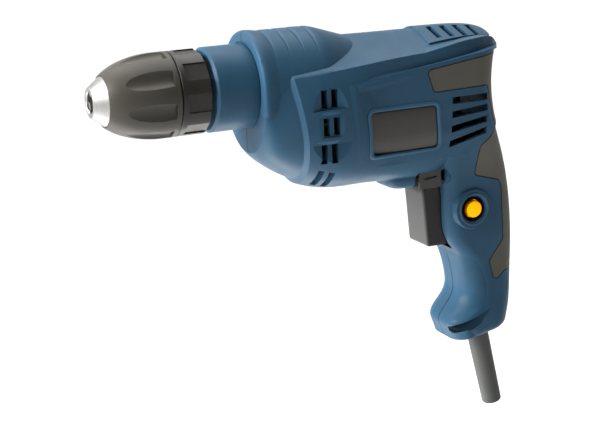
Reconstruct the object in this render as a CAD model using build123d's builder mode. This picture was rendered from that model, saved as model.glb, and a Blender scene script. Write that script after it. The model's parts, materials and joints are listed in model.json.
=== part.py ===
"""Corded drill with a keyless chuck, as the pieces that it comes apart into.

Millimetres. X runs along the spindle, from the chuck (-X) to the back. Z is up.
The drill's left side is -Y. The origin lies on the spindle axis, in the middle of the clamping collar.
"""
import os
from math import acos, atan2, cos, pi, radians, sin, tan

from build123d import *

# Clearances: shaft in bearing, turning beside fixed, sliding, pressed or laid in its seat
running_gap = 0.08
turning_gap = 0.3
slide_gap = 0.4
seat_gap = 0.05

# How far a cut or a joined form runs past the face that it meets
overlap = 1.0

# Collar and gear case
collar_diameter = 43.0
collar_length = 21.0
rim_length = 1.8
rim_chamfer = 1.3
spigot_radius = 20.3
collar_flange_radius = 23.0
collar_flange = 1.2
pinion_notch_radius = 4.3
hump_radius = 27.2
hump_length = 36.0
hump_tail_length = 27.0
hump_tail_radius = 18.5
hump_fillet = 4.0
hump_brow_radius = 20.0
hump_tail_fillet = 6.0
case_step = 2.0
rake_x = 24.0
rake_angle = 9.0
rake_chamfer = 2.4

# Main body
wall = 2.6
rear_half_width = 31.0
rear_corner_radius = 14.0
ridge_radius = 18.0
shoulder_drop = 0.6
shoulder_bow = 0.6
shoulder_dip = 0.3
flank_start = 0.6
pad_front_x = 56.5
pad_bottom_z = -46.0
pad_front_top_z = -0.5
pad_brow_x = 106.0
pad_brow_z = 5.6
rear_top_x = 145.6
rear_top_z = 10.8
rear_hollow_x = 143.0
rear_hollow_z = -12.0
tail_lip = 3.0
tail_under = 7.0
rear_low_x = 145.2
rear_low_z = -28.0
pad_knee_z = -18.0
pad_bend_z = -32.0
pad_bend_half = 29.2
pad_knee_radius = 20.0
pad_bend_radius = 25.0
pad_bottom_half = 24.2
pad_bottom_x = 126.0
pad_bottom_slant = 8.0
grip_half_width = 18.4
toe_swell = 1.0
grip_solid_z = -140.0
grip_back_x = 165.0
foot_block = 40.0

# Thumb grooves on top of the gear case
thumb_grooves = 4
thumb_groove_x = 18.0
thumb_groove_pitch = 7.9
thumb_groove_width = 3.2
thumb_groove_ramp = 1.2
thumb_groove_depth = 0.7
thumb_groove_drop = 1.6

# Vented hood on top of the rear
hood_rise = 1.0
hood_front_x = 102.5
hood_back_x = 149.0
hood_lean = 6.0
hood_front_half = 22.0
hood_back_half = 14.0
hood_front_corner = 3.0
hood_back_corner = 8.0
hood_slots = 4
hood_slot_x = 113.0
hood_slot_pitch = 7.8
hood_slot_width = 3.4
hood_slot_inner = 4.0
hood_slot_outer = 17.0

# Block above the trigger
guard_front_x = 85.0
guard_back_x = 118.0
guard_front_half = 13.0
guard_back_half = 19.0
guard_bottom_z = -63.0
guard_top_z = -40.0
guard_corner = 9.0
guard_fillet = 6.0

# Air slots beside the fan and beside the commutator
fan_slot_x = 38.3
fan_slot_width = 3.4
fan_slot_pitch = 5.8
fan_slot_rows = [(-11.6, 10.8, 32.6), (-25.2, 10.6, 34.4), (-40.2, 11.5, 31.0)]
scoop_radius = 22.0
scoop_depth = 1.5
slot_rim = 0.8
belly_slot_outer = 25.5
belly_slot_inner = 12.0
belly_slot_top_z = -40.0
side_slot_front_x = 113.5
side_slot_back_x = 135.0
side_slot_height = 3.6
side_slots = [(-14.8, -14.8), (-22.3, -20.4), (-30.2, -26.6), (-38.4, -32.8)]

# Soft grip layer and side plate
rubber_thickness = 1.2
rubber_groove = 0.4
rubber_corner = 2.0
rubber_outline = [
    (99.0, 2.2),
    (102.8, -9.2),
    (135.3, -8.5),
    (141.2, -34.5),
    (133.2, -42.0),
    (132.5, -58.5),
    (147.5, -63.0),
    (150.0, -66.5),
    (151.3, -97.0),
    (142.5, -108.5),
    (145.5, -120.5),
    (152.0, -115.5),
    (175.0, -115.5),
    (175.0, 7.2),
    (138.0, 7.2),
]
plate_recess = 0.35
plate_thickness = 1.2
plate_groove = 0.25
plate_outline = [(65.8, -16.3), (103.4, -16.3), (106.0, -38.6), (68.4, -38.6)]
plate_corner = 1.6

# Gear train
gear_module = 0.65
pinion_teeth = 8
gear_teeth = 54
profile_shift = 0.55
tooth_addendum = 0.8
tooth_dedendum = 1.25
pressure_angle = 20.0
tooth_backlash = 0.12
gear_width = 9.0
pinion_overlap = 0.5

# Bearings: bore radius, outer radius, width
spindle_bearing_bore = 6.0
spindle_bearing_radius = 14.0
spindle_bearing_width = 8.0
motor_bearing_bore = 3.5
motor_bearing_radius = 9.5
motor_bearing_width = 6.0
tail_bearing_bore = 3.0
shield_recess = 0.5

# Spindle and what holds it, from the front of the collar back
front_wall = 3.0
front_bore_radius = 8.0
seal_width = 2.0
seal_radius = 10.5
bearing_lip = 1.8
bearing_lip_radius = 12.0
collar_hollow_radius = 18.1
ring_width = 1.2
ring_radius = 8.0
ring_groove = 0.7
ring_mouth = 5.0
ring_gap = 0.2
spindle_flange_radius = 9.0
spindle_flange_gap = 0.5
spindle_thread_length = 16.0
gear_side_gap = 1.0
gear_seat_radius = 7.0
gear_hub_radius = 10.0
gear_rim = 2.6
gear_web_recess = 2.0
journal_radius = 4.0
washer_width = 1.2
washer_radius = 9.0
plate_gap = 3.0
gear_plate_width = 6.0
bush_radius = 7.0
bush_overhang = 1.0
rib_width = 2.2
web_width = 2.6
web_half = 8.0
shelf_gap = 1.0
lead_hole_radius = 4.0
gear_opening_radius = 20.0
pinion_opening_radius = 12.0

# Motor
fan_gap = 4.0
fan_radius = 26.0
fan_width = 10.0
fan_blades = 16
fan_disc = 1.6
fan_blade_width = 1.4
fan_hub_radius = 8.5
fan_rim = 1.0
baffle_gap = 3.0
baffle_width = 2.0
baffle_bore_radius = 21.0
coil_head = 4.5
core_radius = 15.4
core_length = 34.0
core_slots = 12
core_slot_width = 3.0
core_slot_floor = 8.0
winding_head = 5.0
winding_radius = 14.4
winding_bore = 6.0
winding_fillet = 1.5
air_gap = 0.6
stator_radius = 27.4
stator_length = 36.0
yoke_radius = 22.8
pole_half_angle = 50.0
coil_half_angle = 74.0
coil_wall = 1.0
coil_pole_gap = 0.5
commutator_gap = 3.0
commutator_radius = 9.5
commutator_length = 12.0
commutator_bars = 24
bar_groove_width = 0.5
bar_groove_depth = 0.8
shaft_radius = 4.5
brush_width = 6.8
brush_height = 5.8
brush_length = 12.4
brush_spring_length = 4.0
brush_spring_radius = 2.4
brush_spring_wire = 0.8
holder_wall = 0.6
holder_front_gap = 1.0
holder_lug = 3.0
boot_wall = 2.0
boot_end = 2.0

# Chuck
chuck_radius = 21.4
chuck_nose_x = -70.9
nose_flat_radius = 7.5
nose_ring_radius = 12.4
nose_ring_x = -64.5
nose_chamfer = 0.6
sleeve_lip = 0.4
ogive_rise_x = 6.0
ogive_rise = 3.2
ogive_flat_x = 17.0
ogive_length = 27.5
sleeve_seam_x = -30.6
seam_gap = 0.5
chuck_rear_x = -14.9
body_rear_x = -15.5
bit_capacity = 10.0
bit_at_rest = 6.0
jaws_round = 3
jaw_radius = 2.6
jaw_angle = 15.0
jaw_length = 28.0
jaw_tip_x = -69.9
jaw_land = 1.0
jaw_inset = 0.2
jaw_lead = 2.0
jaw_bore_lead = 6.0
jaw_bore_run = 16.0
nut_x = -55.0
nut_width = 10.0
nut_radius = 15.5
hub_radius = 13.5
thread_radius = 6.0
thread_depth = 16.5
chuck_floor = 4.0
chuck_screw_radius = 2.4
chuck_screw_head_radius = 4.4
chuck_screw_head = 3.2
chuck_screw_length = 17.0
scallops = 8
scallop_turn = 15.0
scallop_radius = 7.0
scallop_depth = 1.7
scallop_lean = 5.0
scallop_rear_x = -33.6
notches = 8
notch_turn = 7.5
notch_width = 9.2
notch_depth = 1.2
notch_front_x = -27.0
rear_collar_step = 0.1
rear_collar_chamfer = 0.6

# Trigger, lever and lock
trigger_half_width = 10.8
trigger_top_z = -60.5
trigger_bottom_z = -97.5
trigger_front_x = 105.2
trigger_toe_x = 108.0
trigger_back_x = 119.5
trigger_brow = 7.0
trigger_toe_radius = 2.0
trigger_edge = 1.8
trigger_travel = 6.0
trigger_foot_gap = 2.4
trigger_spring_radius = 5.0
trigger_spring_wire = 1.4
trigger_pocket_x = 113.0
plunger_radius = 3.0
plunger_z = -79.0
plunger_reach = 6.0
switch_front_x = 127.0
switch_depth = 23.0
switch_half_width = 11.5
switch_top_z = -63.0
switch_bottom_z = -97.0
switch_edge = 1.0
lock_x = 131.8
lock_z = -77.4
lock_radius = 5.25
lock_travel = 2.2
lock_cap_y = -20.9
lock_edge = 0.8
lock_flange = 1.0
lock_flange_radius = 6.5
lock_stem_radius = 2.5
lock_stem_y = -12.2
lock_spring_radius = 4.0
bezel_radius = 12.0
bezel_rim_radius = 10.8
bezel_rim_y = -20.2
well_radius = 8.8
well_floor_y = -17.2
lever_swing = 6.0
lever_pivot_x = 132.5
lever_pivot_radius = 3.0
pivot_rise = 0.6
pivot_shoulder_radius = 5.0
lever_hub_radius = 6.0
lever_z = -58.6
lever_thickness = 2.0
lever_arm_half = 5.0
lever_front_x = 101.0
lever_back_x = 114.0
lever_tab_inner = 14.3
lever_tab_outer = 16.4
lever_tab_bottom_z = -63.3
lever_tab_top_z = -54.0

# Cord sleeve, clamp and capacitor in the foot of the grip
sleeve_x = 143.5
sleeve_z = -149.6
sleeve_tilt = 11.9
sleeve_radius = 6.1
sleeve_end_radius = 5.5
sleeve_end_fillet = 1.2
sleeve_bore = 3.9
sleeve_reach = 49.0
sleeve_head = 12.0
sleeve_flange_radius = 8.2
sleeve_flange_depth = 2.5
sleeve_flange_rise = 6.0
foot_z = -150.4
foot_x = 140.0
foot_fillet = 5.0
clamp_half = 12.6
clamp_width = 7.0
clamp_height = 5.0
clamp_screw_y = 9.6
clamp_post = 4.0
clamp_post_radius = 3.0
clamp_screw_radius = 1.5
clamp_screw_head_radius = 2.8
clamp_screw_head = 1.8
clamp_screw_length = 11.0
capacitor_x = 143.0
capacitor_z = -118.0
capacitor_length = 13.0
capacitor_height = 14.0
capacitor_half = 9.0
capacitor_edge = 1.0
slot_depth = 1.8
toe_slot_corner = 0.8
toe_slot = [(117.0, -142.6), (131.0, -138.8), (130.6, -141.8), (118.0, -146.0)]

# Housing screws, driven in from the right side
screw_places = [
    (18.0, 21.8),
    (18.0, -30.5),
    (54.0, 13.5),
    (54.0, -51.0),
    (98.0, 13.5),
    (124.0, -48.0),
    (138.0, -112.0),
    (130.0, -142.0),
]
boss_radius = 3.4
screw_radius = 1.5
screw_head_radius = 2.7
screw_head = 2.2
screw_seat_y = 9.0
screw_length = 18.0

# Derived places
body_front_x = collar_length / 2
collar_front_x = -collar_length / 2 - rim_length
collar_radius = collar_diameter / 2
case_wall = case_step + wall
centre_distance = gear_module * (pinion_teeth + gear_teeth) / 2
motor_z = -centre_distance
seal_x = collar_front_x + front_wall
bearing_x = seal_x + seal_width
bearing_end_x = bearing_x + spindle_bearing_width
gear_x = body_front_x + wall + gear_side_gap
gear_end_x = gear_x + gear_width
gear_plate_x = gear_end_x + plate_gap
gear_plate_end_x = gear_plate_x + gear_plate_width
fan_x = gear_plate_end_x + fan_gap
fan_end_x = fan_x + fan_width
baffle_x = fan_end_x + baffle_gap
baffle_end_x = baffle_x + baffle_width
stator_x = baffle_end_x + coil_head + turning_gap
stator_end_x = stator_x + stator_length
core_x = stator_x + (stator_length - core_length) / 2
core_end_x = core_x + core_length
commutator_x = core_end_x + winding_head + commutator_gap
commutator_end_x = commutator_x + commutator_length
brush_x = (commutator_x + commutator_end_x) / 2
brush_face = commutator_radius + running_gap
holder_half = brush_width / 2 + running_gap + holder_wall
holder_half_z = brush_height / 2 + running_gap + holder_wall
holder_y = commutator_radius + holder_front_gap
holder_end_y = brush_face + brush_length + brush_spring_length
tail_bearing_x = commutator_end_x + commutator_gap
tail_bearing_end_x = tail_bearing_x + motor_bearing_width
boot_radius = motor_bearing_radius + boot_wall
boot_end_x = tail_bearing_end_x + boot_end
switch_back_x = switch_front_x + switch_depth
lock_flange_y = -grip_half_width + wall + slide_gap
lever_bottom_z = lever_z - lever_thickness / 2
lever_top_z = lever_z + lever_thickness / 2
window_gap = slide_gap + lever_tab_outer * sin(radians(lever_swing))
across = ((-2 * rear_half_width, -3 * hump_radius), (2 * rear_half_width, 2 * hump_radius))
spindle_axis = Axis((0, 0, 0), (1, 0, 0))
motor_axis = Axis((0, 0, motor_z), (1, 0, 0))
sleeve_direction = (sin(radians(sleeve_tilt)), 0, -cos(radians(sleeve_tilt)))
sleeve_axis = Axis((sleeve_x, 0, sleeve_z), sleeve_direction)
sleeve_plane = Plane(origin=(sleeve_x, 0, sleeve_z), x_dir=sleeve_direction, z_dir=(0, -1, 0))
flange_start = -sleeve_flange_rise - sleeve_flange_depth
clamp_z = grip_solid_z + clamp_post
clamp_x = sleeve_x - (clamp_z - sleeve_z) * tan(radians(sleeve_tilt))

# Upright sections of the main body: x, ridge z, shoulder y and z, flank y and z, floor z, fullness
body_sections = [
    (body_front_x, 20.0, 25.0, 16.5, 28.6, -6.0, -36.6, 0.58),
    (26.0, 20.6, 28.4, 5.4, 32.6, -18.5, -49.4, 0.56),
    (44.0, 21.4, 29.0, 6.6, 34.4, -19.5, -56.6, 0.56),
    (64.0, 21.4, 28.8, 8.4, 32.0, -20.0, -58.0, 0.62),
    (90.0, 20.8, 28.4, 10.6, 29.4, -20.0, -59.2, 0.66),
    (112.0, 20.6, 28.0, 11.6, 29.4, -16.0, -57.0, 0.72),
    (132.0, 20.0, 25.8, 12.0, 27.0, -4.0, -34.0, 0.6),
    (144.0, 18.4, 20.8, 11.6, 21.4, 2.0, -12.0, 0.6),
    (150.8, 14.8, 13.6, 10.2, 14.0, 5.0, 1.0, 0.6),
]

# Level slices of the grip: z, front x, back x, half width, front and back corner radii
grip_slices = [
    (-14.0, 104.0, 143.0, 30.3, 8.0, 14.0),
    (-30.0, 107.0, 145.4, 29.3, 8.0, 14.0),
    (-46.0, 112.5, 152.4, 24.0, 6.0, 13.5),
    (-60.0, 115.6, 157.6, 19.8, 8.0, 13.0),
    (-78.0, 116.4, 160.6, grip_half_width, 9.0, 13.0),
    (-94.0, 118.5, 161.5, grip_half_width - 0.4, 9.5, 13.0),
    (-105.0, 126.0, 161.5, grip_half_width - 0.7, 10.0, 13.0),
    (-118.0, 131.4, 161.0, grip_half_width - 0.7, 11.0, 13.0),
    (-128.0, 131.0, 160.2, grip_half_width, 12.0, 13.0),
    (-137.0, 124.0, 158.6, grip_half_width + toe_swell, 13.0, 13.0),
    (-146.0, 121.2, 156.6, grip_half_width + 1.2, 13.5, 13.0),
    (-160.0, 123.4, 153.6, grip_half_width, 13.0, 12.0),
]


def sheet(plane, points, radii=0, grow=0.0):
    """Face with straight sides and rounded corners, grown all round by a margin."""
    with BuildSketch(plane) as face:
        with BuildLine():
            FilletPolyline(*points, radius=radii, close=True)
        make_face()
        if grow:
            offset(amount=grow)
    return face.sketch


def rectangle(plane, low, high):
    """Rectangular face from its low corner to its high corner on a plane."""
    return sheet(plane, [low, (high[0], low[1]), high, (low[0], high[1])])


def upright(x):
    """Plane square to the spindle, with Y to the right and Z up."""
    return Plane(origin=(x, 0, 0), x_dir=(0, 1, 0), z_dir=(1, 0, 0))


def motor_plane(x):
    """Plane square to the motor, with its origin on the motor axis."""
    return Plane(origin=(x, 0, motor_z), x_dir=(0, 1, 0), z_dir=(1, 0, 0))


def beside(y):
    """Plane along the spindle at a place across the drill, with X to the right and Z up. It faces -Y."""
    return Plane.XZ.offset(-y)


def level(z):
    """Level plane at a height."""
    return Plane.XY.offset(z)


def disc(plane, radius, place=(0, 0)):
    """Round face on a plane."""
    with BuildSketch(plane) as face:
        with Locations(place):
            Circle(radius)
    return face.sketch


def spokes(plane, inner, outer, width, count):
    """Faces of spokes between two radii about a plane's origin."""
    with BuildSketch(plane) as faces:
        with PolarLocations((inner + outer) / 2, count):
            Rectangle(outer - inner, width)
    return faces.sketch


def turning(points, axis_z=0.0):
    """Half section of a turned piece: places along the spindle with their radii, about a level axis."""
    return sheet(Plane.XZ, [(x, axis_z + radius) for x, radius in points])


def tube(start, end, radius, bore):
    """Half section of a plain ring or tube about the spindle axis."""
    return [(start, bore), (start, radius), (end, radius), (end, bore)]


def body_form(depth, end_gap=0.0):
    """Main body, moved inward by a depth, and by a gap at its front and rear ends."""
    last = len(body_sections) - 1
    with BuildPart() as form:
        for i, (x, ridge, sy, sz, fy, fz, floor, full) in enumerate(body_sections):
            sy, sz, fy = sy - depth, sz - shoulder_drop * depth, fy - depth
            ridge, floor = ridge - depth, floor + depth
            bend = ridge_radius - depth
            apex = ridge + bend * (1 / cos(atan2(ridge - sz, sy)) - 1)
            x += end_gap * (i == 0) - end_gap * (i == last)
            with BuildSketch(upright(x)):
                with BuildLine():
                    FilletPolyline((sy, sz), (0, apex), (-sy, sz), radius=bend)
                    for side in (-1, 1):
                        Bezier(
                            (side * sy, sz),
                            (side * (sy + shoulder_bow * (fy - sy)), sz + shoulder_dip * (fz - sz)),
                            (side * fy, sz + flank_start * (fz - sz)),
                            (side * fy, fz),
                        )
                        Bezier(
                            (side * fy, fz),
                            (side * fy, fz + full * (floor - fz)),
                            (side * full * fy, floor),
                            (0, floor),
                        )
                make_face()
        loft(ruled=end_gap > 0)
    return form.part


def grip_form(depth, ruled=False):
    """Grip, moved inward by a depth, with its foot cut square to the cord sleeve."""
    with BuildPart() as form:
        for z, front, back, half, front_r, back_r in grip_slices:
            ring = [
                (front + depth, half - depth),
                (front + depth, depth - half),
                (back - depth, depth - half),
                (back - depth, half - depth),
            ]
            corners = [front_r - depth, front_r - depth, back_r - depth, back_r - depth]
            with BuildSketch(level(z)):
                with BuildLine():
                    FilletPolyline(*ring, radius=corners, close=True)
                make_face()
        loft(ruled=ruled)
        foot = Plane(origin=(foot_x, 0, foot_z), x_dir=(0, 1, 0), z_dir=sleeve_direction)
        split(bisect_by=foot.offset(-depth), keep=Keep.BOTTOM)
        if not depth:
            fillet(form.faces().sort_by(Axis.Z)[0].edges(), foot_fillet)
    return form.part


def rear_form(depth):
    """Flat-sided rear of the body, with the hollow for the hand behind, moved inward by a depth."""
    corners = [
        (rear_low_x, rear_low_z),
        (pad_bottom_x, pad_bottom_z),
        (pad_front_x + pad_bottom_slant, pad_bottom_z),
        (pad_front_x, pad_bend_z),
        (pad_front_x, pad_front_top_z),
        (pad_brow_x, pad_brow_z),
        (rear_top_x, rear_top_z),
    ]
    half = rear_half_width - depth
    right = [(half, pad_knee_z), (pad_bend_half - depth, pad_bend_z), (pad_bottom_half - depth, pad_bottom_z)]
    left = [(-y, z) for y, z in reversed(right)]
    flank = [*left, (-half, hump_radius), (half, hump_radius), *right]
    with BuildPart() as form:
        with BuildSketch(Plane.XZ):
            with BuildLine():
                Polyline(*corners)
                ThreePointArc(corners[-1], (rear_hollow_x, rear_hollow_z), corners[0])
            make_face()
            if depth:
                offset(amount=-depth, kind=Kind.INTERSECTION)
        extrude(amount=half, both=True)
        fillet(form.edges().filter_by(GeomType.CIRCLE), rear_corner_radius - depth)
        bends = [0, pad_bend_radius, pad_knee_radius, 0, 0, pad_knee_radius, pad_bend_radius, 0]
        extrude(sheet(upright(pad_front_x), flank, bends), rear_low_x, mode=Mode.INTERSECT)
    return form.part


def hump_form(depth):
    """Round top of the gear case, with its tapering tail, moved inward by a depth."""
    front, radius = body_front_x + depth, hump_radius - depth
    tail = front + hump_length + hump_tail_length
    profile = [
        (front, 0),
        (front, radius),
        (front + hump_length, radius),
        (tail, hump_tail_radius - depth),
        (tail, 0),
    ]
    with BuildPart() as form:
        corners = [0, hump_fillet, hump_brow_radius, hump_tail_fillet, 0]
        revolve(sheet(Plane.XZ, profile, corners), spindle_axis)
    return form.part


def guard_form(depth):
    """Block between the belly and the trigger, moved inward by a depth."""
    front, back = guard_front_x + depth, guard_back_x
    plan = [
        (front, guard_front_half - depth),
        (front, depth - guard_front_half),
        (back, depth - guard_back_half),
        (back, guard_back_half - depth),
    ]
    corner = guard_corner - depth
    with BuildPart() as form:
        bottom = guard_bottom_z + depth
        extrude(sheet(level(bottom), plan, [corner, corner, 0, 0]), guard_top_z - bottom)
        if not depth:
            rim = form.faces().sort_by(Axis.Z)[0].edges()
            fillet(rim.filter_by(lambda e: e.center().X < back - overlap), guard_fillet)
    return form.part


# Outside of the housing: raked main body, stepped gear case, flat rear, grip and hood
main_body = body_form(0)
with BuildPart() as raked_body:
    add(main_body)
    rake = Plane(
        origin=(rake_x, 0, 0),
        x_dir=(0, 1, 0),
        z_dir=(cos(radians(rake_angle)), 0, sin(radians(rake_angle))),
    )
    split(bisect_by=rake, keep=Keep.TOP)
    rake_face = raked_body.faces().filter_by(lambda f: f.normal_at().dot(rake.z_dir) < -0.999)
    chamfer(rake_face.edges(), rake_chamfer)
    under_tail = rectangle(
        beside(rear_half_width),
        (rear_top_x - tail_under, pad_bottom_z),
        (rear_top_x + tail_under, rear_top_z - tail_lip),
    )
    extrude(under_tail, 2 * rear_half_width, mode=Mode.SUBTRACT)

with BuildPart() as stepped_case:
    add(body_form(case_step))
    split(bisect_by=upright(fan_x), keep=Keep.BOTTOM)

with BuildPart() as hood:
    add(main_body.moved(Location((0, 0, hood_rise))))
    plan = [
        (hood_front_x, hood_front_half),
        (hood_front_x, -hood_front_half),
        (hood_back_x, -hood_back_half),
        (hood_back_x, hood_back_half),
    ]
    corners = [hood_front_corner, hood_front_corner, hood_back_corner, hood_back_corner]
    extrude(sheet(level(0), plan, corners), 2 * hump_radius, mode=Mode.INTERSECT)
    side = [
        (hood_front_x, 0),
        (hood_front_x + hood_lean, hump_radius),
        (hood_back_x, hump_radius),
        (hood_back_x, 0),
    ]
    extrude(sheet(Plane.XZ, side), rear_half_width, both=True, mode=Mode.INTERSECT)

# Left side of these, as one form
with BuildPart() as outer:
    add(raked_body.part)
    add(
        [
            stepped_case.part,
            hump_form(0),
            rear_form(0),
            grip_form(0),
            guard_form(0),
            hood.part,
        ]
    )
    split(bisect_by=Plane.XZ, keep=Keep.TOP)

# Ribs, webs, shelves, posts and bosses inside the housing
with BuildPart() as ribs:
    # each side of the gear plate, and behind the fan baffle
    for start in (gear_plate_x - rib_width, gear_plate_end_x, baffle_end_x):
        extrude(rectangle(upright(start), *across), rib_width)
    # cross-shaped webs round the stator and the tail bearing
    for start, width in (
        (stator_x + web_width, web_width),
        (stator_end_x - 2 * web_width, web_width),
        (tail_bearing_x, motor_bearing_width),
    ):
        for half_y, half_z in ((2 * rear_half_width, web_half), (web_half, 2 * rear_half_width)):
            extrude(rectangle(motor_plane(start), (-half_y, -half_z), (half_y, half_z)), width)
    extrude(disc(motor_plane(tail_bearing_x), boot_radius + wall), motor_bearing_width)
    # seats for the brush holders
    for side in (-1, 1):
        half, half_z = holder_half + wall, holder_half_z + wall
        low, high = (brush_x - half, motor_z - half_z), (brush_x + half, motor_z + half_z)
        extrude(rectangle(beside(side * (holder_end_y - holder_lug)), low, high), -side * 4 * holder_lug)
    # bores through these
    openings = gear_plate_end_x - gear_plate_x + 2 * rib_width
    start = gear_plate_x - rib_width
    extrude(disc(upright(start), gear_opening_radius), openings, mode=Mode.SUBTRACT)
    extrude(disc(motor_plane(start), pinion_opening_radius), openings, mode=Mode.SUBTRACT)
    extrude(disc(motor_plane(baffle_end_x), yoke_radius + turning_gap), rib_width, mode=Mode.SUBTRACT)
    extrude(disc(motor_plane(stator_x), stator_radius + seat_gap), stator_length, mode=Mode.SUBTRACT)
    boot_seat = disc(motor_plane(tail_bearing_x), boot_radius + seat_gap)
    extrude(boot_seat, motor_bearing_width, mode=Mode.SUBTRACT)
    for side in (-1, 1):
        half, half_z = holder_half + seat_gap, holder_half_z + seat_gap
        low, high = (brush_x - half, motor_z - half_z), (brush_x + half, motor_z + half_z)
        extrude(rectangle(beside(0), low, high), -side * holder_end_y, mode=Mode.SUBTRACT)
    # shelves above and below the switch, and below the capacitor, open for the leads
    for z, front in (
        (switch_top_z, lever_pivot_x + lever_hub_radius + shelf_gap),
        (switch_bottom_z - rib_width, switch_front_x),
        (capacitor_z - rib_width, capacitor_x - 2 * shelf_gap),
    ):
        extrude(rectangle(level(z), (front, -rear_half_width), (grip_back_x, rear_half_width)), rib_width)
        lead_hole = disc(level(z), lead_hole_radius, (switch_back_x + lead_hole_radius, 0))
        extrude(lead_hole, rib_width, mode=Mode.SUBTRACT)
    # screw bosses, and posts under the cord clamp
    for place in screw_places:
        extrude(disc(beside(0), boss_radius, place), rear_half_width, both=True)
    for side in (-1, 1):
        post = disc(level(grip_solid_z), clamp_post_radius, (clamp_x, side * clamp_screw_y))
        extrude(post, clamp_post)
    # solid foot below the clamp
    low, high = (foot_x - foot_block, -rear_half_width), (foot_x + foot_block, rear_half_width)
    extrude(rectangle(level(grip_solid_z), low, high), -foot_block)

with BuildPart() as room:
    add(body_form(case_wall, wall))
    add([hump_form(wall), rear_form(wall), grip_form(wall, ruled=True), guard_form(wall)])
    add(ribs.part, mode=Mode.SUBTRACT)
    split(bisect_by=Plane.XZ, keep=Keep.TOP)

# Core under the soft grip layer
with BuildPart() as grip_core:
    add(rear_form(rubber_thickness))
    add(grip_form(rubber_thickness))

with BuildPart() as left_grip_rubber:
    extrude(sheet(Plane.XZ, rubber_outline, rubber_corner), rear_half_width + wall)
    add(outer.part, mode=Mode.INTERSECT)
    add(grip_core.part, mode=Mode.SUBTRACT)

with BuildPart() as right_grip_rubber:
    add(left_grip_rubber.part)
    mirror(about=Plane.XZ, mode=Mode.REPLACE)

with BuildPart() as grip_rubber_pocket:
    extrude(sheet(Plane.XZ, rubber_outline, rubber_corner, rubber_groove), rear_half_width + wall)
    add(grip_core.part, mode=Mode.SUBTRACT)

# Bare plate on the left side, and its pocket
plate_bed = rear_form(plate_recess + plate_thickness)
with BuildPart() as side_plate:
    extrude(sheet(Plane.XZ, plate_outline, plate_corner), rear_half_width)
    add(rear_form(plate_recess), mode=Mode.INTERSECT)
    add(plate_bed, mode=Mode.SUBTRACT)

with BuildPart() as plate_pocket:
    extrude(sheet(Plane.XZ, plate_outline, plate_corner, plate_groove), rear_half_width + wall)
    add(plate_bed, mode=Mode.SUBTRACT)

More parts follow.
